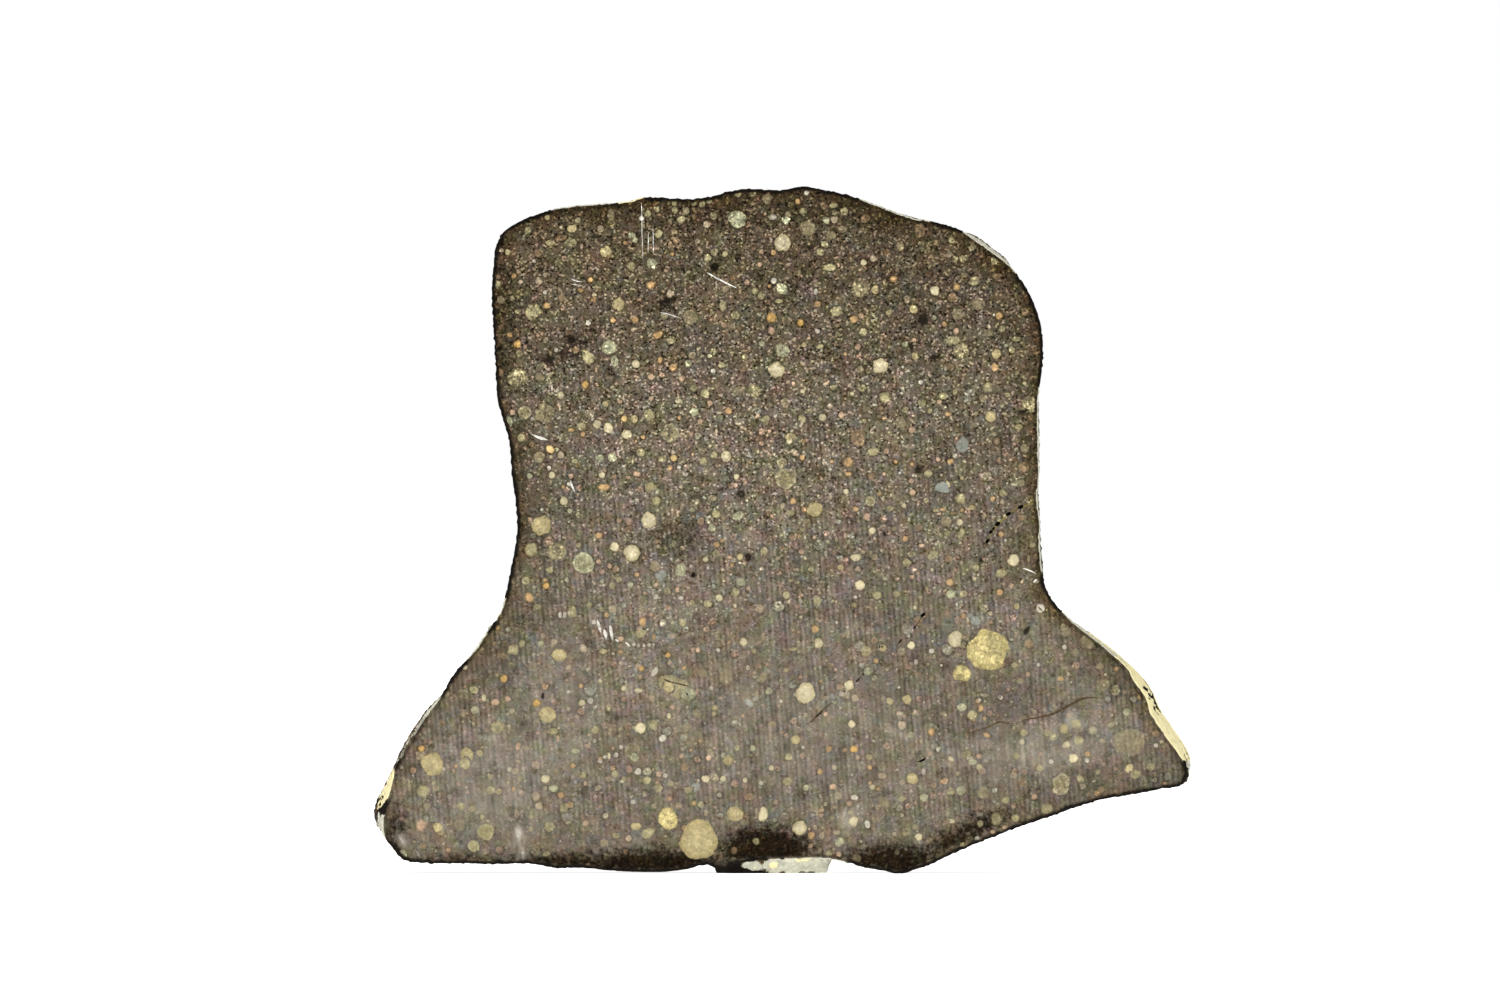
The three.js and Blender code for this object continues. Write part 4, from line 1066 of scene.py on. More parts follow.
class SliceMesh:
    """Gathers the slice's points, faces and what its materials read, then makes the mesh."""

    def __init__(self):
        self.points, self.faces = [], []
        self.material, self.smooth = [], []
        self.state = []             # for each point: darkness, paleness, distance to the sawn edge in mm
        self.coats = []             # for each point: cream, pale and dark coats of the rim
        self.tone, self.place, self.make, self.bake = [], [], [], []    # for each corner of a face

    def add_rim(self, grid, coats):
        rows, columns = grid.shape[:2]
        self.points += [tuple(p) for p in grid.reshape(-1, 3)]
        self.state += [NO_STATE] * (rows * columns)
        self.coats += [tuple(c) for c in coats.reshape(-1, 3)]
        quads = rim_quads(rows, columns)
        self.faces += [tuple(q) for q in quads.tolist()]
        self.material += [1] * len(quads)
        self.smooth += [True] * len(quads)
        self.tone += [NO_TONE] * (4 * len(quads))
        self.place += [NO_PLACE] * (4 * len(quads))
        self.make += [NO_MAKE] * (4 * len(quads))
        self.bake += rim_layout(grid)

    def add_face(self, y, sign, face, first_rim, dark_patches, smears, layout):
        """A sawn face at y. `sign` is -1 for the front face and 1 for the back one."""
        at, corners, held, rim_of = face
        inner = rim_of < 0
        loop = at[np.argsort(np.where(inner, len(at) * 2, rim_of))][: (~inner).sum()]
        gap = np.zeros(len(at))
        gap[inner] = gap_to_loop(loop, at[inner])
        dark, pale = soft_patches(at, dark_patches), soft_patches(at, smears)
        sunk = np.zeros(len(at))
        for triangle, item in zip(corners, held):
            if item is not None and item.kind in SUNK_KINDS:
                for c in triangle:
                    if inner[c]:
                        sunk[c] = max(sunk[c], item.sink(*at[c]))
        number = np.empty(len(at), int)
        number[~inner] = first_rim + rim_of[~inner]
        number[inner] = len(self.points) + np.arange(inner.sum())
        for i in np.nonzero(inner)[0]:
            self.points.append((at[i][0], y - sign * sunk[i], at[i][1]))
            self.state.append((dark[i], pale[i], gap[i]))
            self.coats.append(NO_COATS)
        for triangle, item in zip(corners, held):
            ordered = triangle if sign < 0 else triangle[::-1]
            self.faces.append(tuple(int(number[c]) for c in ordered))
            self.material.append(0)
            self.smooth.append(False)
            if item is None:
                self.tone += [NO_TONE] * 3
                self.place += [NO_PLACE] * 3
                self.make += [NO_MAKE] * 3
            else:
                kind = KINDS[item.kind]
                self.tone += [tone_of(item)] * 3
                self.place += [(*item.local(*at[c]), item.radius) for c in ordered]
                self.make += [(kind.mottle, kind.ring, kind.soft)] * 3
            self.bake += [layout(at[c]) for c in ordered]

    def build(self, name, materials):
        mesh = bpy.data.meshes.new(name)
        mesh.from_pydata([tuple(c * MM for c in p) for p in self.points], [], self.faces)
        for material in materials:
            mesh.materials.append(material)
        mesh.polygons.foreach_set("material_index", self.material)
        mesh.polygons.foreach_set("use_smooth", self.smooth)
        layers = (
            ("face_state", "FLOAT_VECTOR", "POINT", "vector", self.state),
            ("rim_coats", "FLOAT_VECTOR", "POINT", "vector", self.coats),
            ("grain_tone", "FLOAT_COLOR", "CORNER", "color", self.tone),
            ("grain_place", "FLOAT_VECTOR", "CORNER", "vector", self.place),
            ("grain_make", "FLOAT_VECTOR", "CORNER", "vector", self.make),
        )
        for label, kind, domain, field, values in layers:
            layer = mesh.attributes.new(label, kind, domain)
            layer.data.foreach_set(field, np.array(values, np.float32).reshape(-1))
        bake = mesh.uv_layers.new(name="OFBake")
        bake.data.foreach_set("uv", np.array(self.bake, np.float32).reshape(-1))
        mesh.update()
        return mesh


def rim_layout(grid):
    """Where the rim's corners lie in the bake: strips side by side at the right of the front face."""
    rows, columns = grid.shape[:2]
    along = np.linalg.norm(np.diff(np.concatenate([grid, grid[:, :1]], axis=1), axis=1), axis=2).mean(axis=0)
    across = np.linalg.norm(np.diff(grid, axis=0), axis=2).mean(axis=1)
    run, up = (np.concatenate([[0], np.cumsum(lengths)]) for lengths in (along, across))
    width = up[-1] * BAKE_RIM + BAKE_GAP
    left = BAKE_SIDE - RIM_STRIPS * width
    cuts = np.linspace(0, columns, RIM_STRIPS + 1).astype(int)
    spots = []
    for row in range(rows - 1):
        for column in range(columns):
            strip = int(np.searchsorted(cuts, column, side="right")) - 1
            for r, c in ((row, column), (row, column + 1), (row + 1, column + 1), (row + 1, column)):
                u = left + strip * width + up[r] * BAKE_RIM
                v = BAKE_SIDE - BAKE_GAP - (run[c] - run[cuts[strip]]) * BAKE_RIM
                spots.append((u / BAKE_SIDE, v / BAKE_SIDE))
    return spots


def face_layout(loop, scale, top):
    """A function that puts a point of a sawn face in the bake, with its outline's top at `top` dots."""
    low, high = loop.min(axis=0), loop.max(axis=0)
    return lambda p: ((BAKE_GAP + (p[0] - low[0]) * scale) / BAKE_SIDE,
                      (top - BAKE_GAP - (high[1] - p[1]) * scale) / BAKE_SIDE)


def build_slice(settings, materials):
    """The whole slice as one closed mesh."""
    cad = finer_round(cad_rim(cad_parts[CAD_NODE]), COLUMNS_PER_FACET)
    half = -cad[0, 0, 1]
    rounding = settings.edge_rounding / MM
    first, last = -half + rounding, half - rounding
    depths = np.concatenate([np.linspace(first, first + RIM_FRONT_DEPTH, RIM_FRONT_ROWS, endpoint=False),
                             np.linspace(first + RIM_FRONT_DEPTH, last, RIM_BACK_ROWS)])
    low, high = (np.array(corner) / MM for corner in CAD_BOX)
    grid = np.clip(finer_through(cad, depths), low, high)

    # the rim gives way less next to the sawn faces, under the coats and at the foot
    behind = depths - depths[0]
    near_cut = np.minimum(behind, behind[::-1])
    give = GIVE_AT_CUT + (1 - GIVE_AT_CUT) * smoothstep(near_cut, 0, CUT_REACH)
    give = np.repeat(give[:, None], grid.shape[1], axis=1)
    give *= smoothstep(grid[:, :, 2], 0.0, FOOT_HEIGHT)
    coats = coat_shares(grid, cad[0][:, [0, 2]], behind)
    give *= 1 - COAT_SHELTER * np.clip(coats[:, :, :2].max(axis=2), 0, 1)
    grid = np.clip(weather(grid, give, settings, materials[1]), low, high)

    def chipped(row, seed):
        """A sawn face's outline: a rim row drawn in by the worn edge, which is wider where it is chipped."""
        flat = row[:, [0, 2]]
        chip = np.array([max(0.0, wander(p, CHIP_SPACING, seed)) ** 2 for p in flat])
        return flat + inwards(flat) * (rounding * (1 + CHIP_WIDTH * chip))[:, None]

    def at_height(flat, y):
        return np.stack([flat[:, 0], np.full(len(flat), y), flat[:, 1]], axis=1)[None]

    front, back = (chipped(grid[row], seed) for row, seed in zip((0, -1), CHIP_SEEDS))
    full = np.concatenate([at_height(front, -half), grid, at_height(back, half)])
    mesh = SliceMesh()
    mesh.add_rim(full, np.concatenate([coats[:1], coats, coats[-1:]]))
    mesh.add_face(-half, -1, sawn_face(front, front_grains() + front_seams()), 0, DARK_BANDS_AND_STAINS, PALE_SMEARS,
                  face_layout(front, BAKE_FRONT, BAKE_SIDE))
    top_of_back = BAKE_SIDE - BAKE_GAP - np.ptp(front[:, 1]) * BAKE_FRONT
    mesh.add_face(half, 1, sawn_face(back, scattered_grains(back, BACK_FIELD_SEED)),
                  (len(full) - 1) * full.shape[1], [], [], face_layout(back, BAKE_BACK, top_of_back))
    return mesh.build("slice", materials)


# ---- Materials ----

# Colours as they look on a screen, 0 to 255.
# The hairline colour is painted shade along the worn edge round each sawn face.
MATRIX_COLOUR, HAZE_COLOUR, EDGE_SHADE_COLOUR = (115, 106.8, 95), (186, 178, 162), (10, 8, 6)
RIM_COLOUR, VARNISH_COLOUR = (104, 86, 62), (46, 38, 31)
# The dark coat's colour serves both dark crust and painted shade.
PALE_COAT, CREAM_COAT, DARK_CRUST_AND_SHADE_COAT = (222, 220, 200), (250, 238, 186), (24, 20, 17)
# What is left of red, green and blue at the face's top, at its natural edge, in its dark bands and stains
# and in dark crystals.
TOP_TINT, EDGE_TINT, DARK_PATCH_TINT = (0.57, 0.52, 0.43), (0.5, 0.44, 0.3), (0.08, 0.06, 0.033)
DARK_CRYSTAL_TINT = (1.1, 1.0, 0.72)
RING_TINT = (0.8, 0.9, 1.3)     # how far a grain's ring changes red, green and blue, against each other
# Heights in millimetres between which the face changes from its foot to its top, and what from and to.
CRYSTALS_RISE, CRYSTALS_SPAN = (12.0, 37.0), (0.45, 2.45)       # how far the crystals stand out
SMALL_GRAINS_RISE, SMALL_GRAINS_SPAN = (14.0, 30.0), (0.5, 0.35)
DARKENING_RISE = (12.0, 35.0)
BROWN_EDGE_RISE, BROWN_EDGE_SPAN = (4.0, 14.0), (0.45, 1.0)
OUTLINE_RISE, OUTLINE_SPAN = (8.0, 24.0), (0.3, 1.0)            # the dark outlines of the grains
BROWN_EDGE, BROWN_EDGE_CLOSE = 2.6, 0.9         # how far the browning reaches in, and its stronger part
SAW_STREAK = 1.7                # how far a saw mark keeps its strength along its length, in millimetres
# How far the saw marks lighten and darken the colour: painted light and shade of their grooves.
SAW_MARK_PAINTED_SHADING = 0.27
# A crystal's lightness against 0.5, by its chance.
CRYSTAL_LEVELS = ((0.0, 0.0), (0.06, 0.03), (0.13, 0.43), (0.5, 0.49), (0.85, 0.54), (0.92, 0.77), (1.0, 1.0))
# Layers of crystals: how many per millimetre, how strong, and whether they are the fine ones.
CRYSTAL_LAYERS = ((2.2, 0.14, False), (4.8, 0.29, False), (11.0, 1.12, True))
MEAN_HEIGHT = 0.33              # each layer's share in the bumps
# Layers of small grains: how many per millimetre, the largest one's radius against their spacing, how far
# they cover the stone, and how many more of them are warm.
SMALL_GRAIN_LAYERS = ((0.95, 0.34, 0.7, 0.0), (1.7, 0.38, 0.85, 0.0), (3.0, 0.38, 0.6, 0.04))
SMALL_GRAIN_COLOURS = (
    (0.0, 146, 137, 109), (0.22, 170, 160, 124), (0.42, 196, 185, 144), (0.5, 212, 205, 172),
    (0.56, 168, 171, 152), (0.64, 84, 70, 50), (0.74, 184, 150, 125), (0.88, 200, 160, 112),
    (0.93, 136, 106, 84),
)
# Fragments in the matrix: from which chance on, and what they do to red, green and blue.
FRAGMENT_TINTS = (
    (0.0, 1, 1, 1), (0.3, 1.0, 0.93, 0.84), (0.45, 0.94, 0.98, 0.82), (0.6, 1.12, 1.02, 1.03),
    (0.72, 0.8, 0.8, 0.76), (0.84, 1.18, 1.17, 1.06), (0.93, 0.94, 1.0, 1.06),
)
HUE_STRENGTH = 0.22             # how far the matrix's hue changes from place to place
SPECULAR = 0.04


class Nodes:
    """Short ways to add nodes to a tree and join them."""

    def __init__(self, tree):
        self.tree = tree

    def add(self, kind, values=None, **settings):
        node = self.tree.nodes.new(kind)
        for name, value in settings.items():
            setattr(node, name, value)
        for socket, value in (values or {}).items():
            self.feed(node.inputs[socket], value)
        return node

    def feed(self, socket, value):
        if isinstance(value, bpy.types.NodeSocket):
            self.tree.links.new(value, socket)
        elif socket.type == "VECTOR":
            socket.default_value = tuple(value)[:3]
        else:
            socket.default_value = value

    def group(self, tree, values):
        return self.add("ShaderNodeGroup", values, node_tree=tree).outputs

    def math(self, operation, *values, clamp=False):
        node = self.add("ShaderNodeMath", operation=operation, use_clamp=clamp)
        for socket, value in zip(node.inputs, values):
            self.feed(socket, value)
        return node.outputs[0]

    def times(self, product, *factors):
        for factor in factors:
            product = self.math("MULTIPLY", product, factor)
        return product

    def plus(self, first, second):
        return self.math("ADD", first, second)

    def line(self, value, factor, offset, clamp=False):
        """value * factor + offset"""
        return self.math("MULTIPLY_ADD", value, factor, offset, clamp=clamp)

    def vector(self, operation, first, second=None, scale=None):
        node = self.add("ShaderNodeVectorMath", {0: first}, operation=operation)
        if second is not None:
            self.feed(node.inputs[1], second)
        if scale is not None:
            self.feed(node.inputs["Scale"], scale)
        return node.outputs["Value" if operation == "LENGTH" else "Vector"]

    def smooth(self, value, low, high):
        """0 at `low`, 1 at `high`, eased between."""
        node = self.add("ShaderNodeMapRange", {"Value": value, "From Min": low, "From Max": high},
                        interpolation_type="SMOOTHSTEP")
        return node.outputs["Result"]

    def scaled(self, value, low, high):
        """Carries 0 to 1 over to `low` to `high`."""
        node = self.add("ShaderNodeMapRange", {"Value": value, "To Min": low, "To Max": high})
        return node.outputs["Result"]

    def rise(self, value, span, results=(0.0, 1.0)):
        """Eases from the first result to the second while the value goes through the span."""
        return self.scaled(self.smooth(value, *span), *results)

    def mix(self, share, under, over):
        return self.add("ShaderNodeMix", {0: share, 6: under, 7: over}, data_type="RGBA").outputs[2]

    def lit(self, colour, light):
        """A colour made lighter or darker by a factor."""
        return self.vector("SCALE", colour, scale=light)

    def tinted(self, share, colour, tint):
        """A colour that is multiplied by a tint where the share is 1."""
        return self.mix(share, colour, self.vector("MULTIPLY", colour, tint))

    def ramp(self, share, stops, interpolation="LINEAR"):
        node = self.add("ShaderNodeValToRGB", {"Fac": share})
        node.color_ramp.interpolation = interpolation
        while len(node.color_ramp.elements) < len(stops):
            node.color_ramp.elements.new(0.5)
        for element, (at, colour) in zip(node.color_ramp.elements, stops):
            element.position = at
            element.color = colour
        return node.outputs["Color"]

    def noise(self, place, scale, detail=2.0, roughness=0.5):
        return self.add("ShaderNodeTexNoise", {"Vector": place, "Scale": scale, "Detail": detail,
                                               "Roughness": roughness}).outputs[0]

    def swing(self, place, scale, span, detail=2.0, roughness=0.5):
        """Noise on both sides of zero."""
        return self.line(self.noise(place, scale, detail, roughness), span, -span / 2)

    def cells(self, place, scale):
        """Random cells: the distance to the nearest centre, and three random numbers for the cell."""
        node = self.add("ShaderNodeTexVoronoi", {"Vector": place, "Scale": scale})
        parts = self.add("ShaderNodeSeparateColor", {0: node.outputs["Color"]}).outputs
        return node.outputs["Distance"], *parts[:3]

    def parts(self, vector):
        return self.add("ShaderNodeSeparateXYZ", {0: vector}).outputs[:]

    def attribute(self, name, output="Vector"):
        return self.add("ShaderNodeAttribute", attribute_name=name).outputs[output]


def node_group(name, inputs, outputs):
    """A shader node group with the named sockets. Returns it, its node helper and its inputs."""
    group = bpy.data.node_groups.new(name, "ShaderNodeTree")
    for label, kind, value in inputs:
        socket = group.interface.new_socket(label, in_out="INPUT", socket_type="NodeSocket" + kind)
        if value is not None:
            socket.default_value = value
    for label, kind in outputs:
        group.interface.new_socket(label, in_out="OUTPUT", socket_type="NodeSocket" + kind)
    make = Nodes(group)
    return group, make, make.add("NodeGroupInput").outputs


def speckle_group():
    """Salt-and-pepper crystals: a factor for the brightness under them, and their bumps."""
    group, make, given = node_group(
        "Speckle", [("Place", "Vector", None), ("Crystals per mm", "Float", 6.0), ("Contrast", "Float", 1.0)],
        [("Light", "Float"), ("Height", "Float")])
    chance = make.cells(given["Place"], given["Crystals per mm"])[1]
    level = make.ramp(chance, [(at, (level, level, level, 1)) for at, level in CRYSTAL_LEVELS])
    grit = make.swing(given["Place"], given["Crystals per mm"], 1.0, 1.0)
    value = make.plus(make.line(make.parts(level)[0], 2.0, -1.0), grit)
    light = make.math("EXPONENT", make.times(value, given["Contrast"]))
    make.add("NodeGroupOutput", {"Light": make.math("MINIMUM", light, 4.0), "Height": chance})
    return group


def small_grains_group():
    """Small round grains scattered through the stone, over the colour and the grains that are given."""
    group, make, given = node_group(
        "Small grains",
        [("Place", "Vector", None), ("Under", "Color", (0.2, 0.2, 0.2, 1)), ("Grains", "Float", 0.0),
         ("Per mm", "Float", 1.7), ("Largest", "Float", 0.4), ("Cover", "Float", 0.8),
         ("Warmth", "Float", 0.0)],
        [("Colour", "Color"), ("Grains", "Float")])
    distance, size, hue, chance = make.cells(given["Place"], given["Per mm"])
    radius = make.times(given["Largest"], make.scaled(size, 0.36, 1.0))
    ragged = make.math("DIVIDE", make.plus(make.swing(given["Place"], 5.0, 0.2), distance), radius)
    clear = make.smooth(chance, 0.3, 0.75)
    tone = make.ramp(make.plus(hue, given["Warmth"]),
                     [(at, linear(*colour)) for at, *colour in SMALL_GRAIN_COLOURS], "CONSTANT")
    share = make.times(make.smooth(ragged, 1.0, 0.7), clear, given["Cover"])
    outline = make.times(make.smooth(ragged, 1.5, 1.05), make.smooth(ragged, 0.8, 1.0), clear)
    under = make.lit(given["Under"], make.line(outline, -0.3, 1.0))
    make.add("NodeGroupOutput", {"Colour": make.mix(share, under, tone),
                                 "Grains": make.math("MAXIMUM", given["Grains"], share)})
    return group


def stone_group(speckle, small_grains):
    """The stone itself, without its larger grains: matrix, small grains and speckle."""
    group, make, given = node_group(
        "Stone",
        [("Place", "Vector", None), ("Matrix", "Color", (0.2, 0.17, 0.14, 1)), ("Contrast", "Float", 1.0),
         ("Coarse contrast", "Float", 1.0), ("Small grains", "Float", 1.0), ("Groove shading", "Float", 0.0)],
        [("Colour", "Color"), ("Height", "Float")])
    place = given["Place"]
    colour = make.lit(given["Matrix"], make.scaled(make.noise(place, 0.28, 4.0, 0.6), 0.5, 1.5))
    strengths = (HUE_STRENGTH, HUE_STRENGTH * 0.75, HUE_STRENGTH * 1.2)
    least = [1 - strength / 2 for strength in strengths]
    for scale in (0.8, 2.0):
        hues = make.add("ShaderNodeTexNoise", {"Vector": place, "Scale": scale, "Detail": 0.0})
        tint = make.add("ShaderNodeVectorMath", {0: hues.outputs["Color"], 1: strengths, 2: least},
                        operation="MULTIPLY_ADD")
        colour = make.vector("MULTIPLY", colour, tint.outputs["Vector"])
    fragments = make.ramp(make.cells(place, 2.7)[1], [(at, (*tint, 1)) for at, *tint in FRAGMENT_TINTS],
                          "CONSTANT")
    colour = make.vector("MULTIPLY", colour, fragments)
    # the saw marks' painted light and shade
    colour = make.lit(colour, make.plus(given["Groove shading"], 1.0))
    covered = 0.0
    for per_mm, largest, cover, warmth in SMALL_GRAIN_LAYERS:
        colour, covered = make.group(small_grains, {
            "Place": place, "Under": colour, "Grains": covered, "Per mm": per_mm, "Largest": largest,
            "Cover": make.times(given["Small grains"], cover), "Warmth": warmth})
    livelier = make.line(covered, 0.9, 0.85)
    fine, coarse = (make.times(given[name], livelier) for name in ("Contrast", "Coarse contrast"))
    height, light = 0.0, 1.0
    for per_mm, strength, is_fine in CRYSTAL_LAYERS:
        crystals = make.group(speckle, {"Place": place, "Crystals per mm": per_mm,
                                        "Contrast": make.times(fine if is_fine else coarse, strength)})
        light = make.times(light, crystals["Light"])
        height = make.plus(height, crystals["Height"])
    # dark crystals keep the stone's brown
    colour = make.lit(colour, make.math("MINIMUM", light, 3.6))
    colour = make.tinted(make.smooth(light, 1.0, 0.25), colour, DARK_CRYSTAL_TINT)
    make.add("NodeGroupOutput", {"Colour": colour, "Height": make.times(height, MEAN_HEIGHT)})
    return group


def new_material(name):
    material = bpy.data.materials.new(name)
    material.use_nodes = True
    material.node_tree.nodes.clear()
    make = Nodes(material.node_tree)
    shader = make.add("ShaderNodeBsdfPrincipled")
    shader.inputs["Specular IOR Level"].default_value = SPECULAR
    make.add("ShaderNodeOutputMaterial", {"Surface": shader.outputs["BSDF"]})
    place = make.vector("SCALE", make.add("ShaderNodeTexCoord").outputs["Object"], scale=1 / MM)
    return material, make, shader.inputs, place


def sawn_material(stone, speckle, settings):
    """The sawn and lightly polished faces."""
    material, make, shader, place = new_material("sawn stone")
    z = make.parts(place)[2]
    dark, pale, gap = make.parts(make.attribute("face_state"))
    contrast = make.rise(make.line(make.noise(place, 0.25), 8.0, z), CRYSTALS_RISE, CRYSTALS_SPAN)

    # saw marks: even grooves, each of them clearer here and there; besides their bumps they lighten and
    # darken the colour, painted light and shade of the grooves
    lie = make.add("ShaderNodeMapping",
                   {"Vector": place, "Rotation": (0, -math.radians(settings.saw_tilt_deg), 0),
                    "Scale": (settings.saw_pitch / MM, 1, SAW_STREAK)}, vector_type="TEXTURE")
    lie = lie.outputs["Vector"]
    turns = make.line(make.noise(place, 0.5), 3.0, make.times(make.parts(lie)[0], 2 * math.pi))
    streak = make.swing(lie, 1.0, 3.6, 1.0)
    clear = make.smooth(make.noise(make.vector("MULTIPLY", place, (0.5, 0.5, 0.25)), 1.0, 2.0), 0.25, 0.6)
    clear = make.times(clear, make.rise(z, (30.0, 20.0), (0.4, 1.0)), make.rise(z, (1.5, 4.0), (0.3, 1.0)))
    marks = make.times(make.line(make.math("SINE", turns), 0.75, streak), clear)

    base = make.group(stone, {
        "Place": place, "Matrix": linear(*MATRIX_COLOUR), "Contrast": contrast,
        "Coarse contrast": make.line(contrast, 0.15, 0.9),
        "Small grains": make.rise(z, SMALL_GRAINS_RISE, SMALL_GRAINS_SPAN),
        "Groove shading": make.times(marks, SAW_MARK_PAINTED_SHADING)})

    # the stone is browner and darker towards its top and its natural edge
    colour = make.tinted(make.smooth(z, *DARKENING_RISE), base["Colour"], TOP_TINT)
    uneven = make.swing(place, 0.7, 2.4, 3.0)
    near_edge = make.smooth(make.plus(gap, uneven), BROWN_EDGE, 0.0)
    close = make.smooth(make.line(uneven, 0.4, gap), BROWN_EDGE_CLOSE, 0.0)
    share = make.line(close, 0.45, make.times(near_edge, 0.55), clamp=True)
    share = make.times(share, make.rise(z, BROWN_EDGE_RISE, BROWN_EDGE_SPAN))
    colour = make.tinted(share, colour, EDGE_TINT)

    # dark bands along the edges and dark stains, and pale smears that are fainter between the saw marks
    ragged = make.plus(make.swing(place, 3.6, 2.4, 4.0, 0.7), dark)
    share = make.times(make.smooth(ragged, 0.0, 0.9), make.smooth(dark, 0.0, 0.2))
    share = make.math("MAXIMUM", share, make.smooth(dark, 0.55, 1.6))
    grit = make.math("EXPONENT", make.swing(place, 7.0, 7.0, 3.0, 0.7))
    colour = make.mix(share, colour, make.lit(make.vector("MULTIPLY", colour, DARK_PATCH_TINT), grit))
    blotch = make.smooth(make.noise(place, 1.1, 4.0), 0.25, 0.6)
    hazy = make.math("MULTIPLY", make.times(pale, blotch), make.line(streak, 0.5, 1.0), clamp=True)
    colour = make.mix(hazy, colour, linear(*HAZE_COLOUR))

    # the larger grains: `edge` is the distance to the grain's edge in millimetres, below zero inside it
    tone = make.add("ShaderNodeAttribute", attribute_name="grain_tone").outputs
    spot = make.attribute("grain_place")
    mottle, ring, soft = make.parts(make.attribute("grain_make"))
    radius = make.parts(spot)[2]
    away = make.vector("LENGTH", make.vector("MULTIPLY", spot, (1.0, 1.0, 0.0)))
    edge = make.times(make.math("SUBTRACT", away, 1.0), radius)
    reach = make.math("MINIMUM", radius, 0.35)
    wavy = make.times(reach, make.line(contrast, 0.2, 0.4))
    edge = make.line(make.swing(place, 4.2, 1.0, 3.0, 0.6), wavy, edge)
    within = make.smooth(edge, 0.02, make.line(make.times(soft, reach), -1.0, 0.02))
    lively = make.times(mottle, make.line(contrast, 0.35, 0.15))
    crystals = make.group(speckle, {"Place": place, "Crystals per mm": 10.0, "Contrast": lively})
    cloud = make.plus(make.swing(place, 5.0, 3.4, 2.0, 0.6), make.swing(place, 1.9, 2.4))
    cloud = make.times(cloud, make.line(contrast, 0.15, 0.3), mottle)
    grain = make.lit(tone["Color"], make.times(crystals["Light"], make.math("EXPONENT", cloud)))
    near_rim = make.smooth(make.math("DIVIDE", edge, radius), -0.5, -0.05)
    warm_ring = make.lit(RING_TINT, make.times(near_rim, ring))
    grain = make.vector("MULTIPLY", grain, make.vector("ADD", warm_ring, (1.0, 1.0, 1.0)))
    covered = make.times(within, tone["Alpha"], make.line(cloud, 0.3, 0.95, clamp=True))
    colour = make.mix(covered, colour, grain)
    outline = make.times(make.smooth(edge, 0.09, 0.02), make.smooth(edge, -0.04, 0.01),
                         make.smooth(make.noise(place, 2.0), 0.3, 0.6),
                         make.rise(z, OUTLINE_RISE, OUTLINE_SPAN))
    colour = make.lit(colour, make.line(outline, -0.45, 1.0))

    # the painted shade of the worn edge: a dark hairline where the face meets the dark rim
    cream_coat, pale_coat, _ = make.parts(make.attribute("rim_coats"))
    bare = make.math("SUBTRACT", 1.0, make.math("MAXIMUM", cream_coat, pale_coat), clamp=True)
    edge_shade_line = make.smooth(make.plus(make.swing(place, 2.0, 0.3), gap), 0.22, 0.05)
    colour = make.mix(make.times(edge_shade_line, bare, 0.94), colour, linear(*EDGE_SHADE_COLOUR))

    make.feed(shader["Base Color"], colour)
    make.feed(shader["Roughness"], make.scaled(make.noise(place, 1.3, 3.0), 0.42, 0.62))
    height = make.line(marks, 0.5, make.times(base["Height"], 0.8))
    bump = make.add("ShaderNodeBump", {"Strength": 0.25, "Distance": 0.00001, "Height": height})
    make.feed(shader["Normal"], bump.outputs["Normal"])
    return material


def rim_material(stone, speckle):
    """The natural rim: brown weathered stone with dark varnish, pale crust and cream caliche."""
    material, make, shader, place = new_material("weathered rim")
    cream, pale, dark = make.parts(make.attribute("rim_coats"))
    base = make.group(stone, {"Place": place, "Matrix": linear(*RIM_COLOUR), "Contrast": 1.0})
    colour = make.lit(base["Colour"], make.scaled(make.noise(place, 0.8, 4.0, 0.6), 0.45, 1.15))
    varnish = make.smooth(make.noise(place, 0.45, 4.0, 0.6), 0.48, 0.62)
    colour = make.mix(make.times(varnish, 0.85), colour, linear(*VARNISH_COLOUR))
    fleck = make.noise(place, 2.6, 4.0, 0.65)
    scattered = make.noise(make.vector("ADD", place, (31.0, 7.0, 3.0)), 0.55, 4.0, 0.6)

    def coat(under, tone, listed, level, span):
        """Where a coat is listed it covers all but flecks, and elsewhere it lies in scattered patches."""
        amount = make.line(listed, 0.5, scattered)
        ragged = make.line(make.math("SUBTRACT", fleck, 0.5), 0.7, amount)
        share = make.smooth(ragged, level, level + 0.07)
        shade = make.scaled(make.noise(place, 2.6, 4.0, 0.7), *span)
        return make.mix(share, under, make.lit(linear(*tone), shade)), share

    colour, pale_share = coat(colour, PALE_COAT, pale, 0.66, (0.2, 1.4))
    colour, cream_share = coat(colour, CREAM_COAT, cream, 0.74, (0.65, 1.25))
    # the dark coat: dark crust, and painted shade at the foot, the left corner and along the worn edges
    colour = make.mix(make.smooth(make.line(fleck, 0.5, dark), 0.62, 0.8), colour, linear(*DARK_CRUST_AND_SHADE_COAT))
    crust = make.math("MAXIMUM", pale_share, cream_share)
    crystals = make.group(speckle, {"Place": place, "Crystals per mm": 7.0,
                                    "Contrast": make.scaled(crust, 0.4, 0.07)})
    make.feed(shader["Base Color"], make.lit(colour, crystals["Light"]))
    make.feed(shader["Roughness"], make.scaled(crust, 0.72, 0.95))
    height = make.plus(make.line(crust, 1.2, make.times(fleck, 2.0)), crystals["Height"])
    bump = make.add("ShaderNodeBump", {"Strength": 0.6, "Distance": 0.00003, "Height": height})
    make.feed(shader["Normal"], bump.outputs["Normal"])
    return material


# ---- Settings, operators and panel ----


def length(name, description, millimetres):
    return bpy.props.FloatProperty(name=name, description=description, default=millimetres * MM, min=0.0,
                                   unit="LENGTH", precision=5)


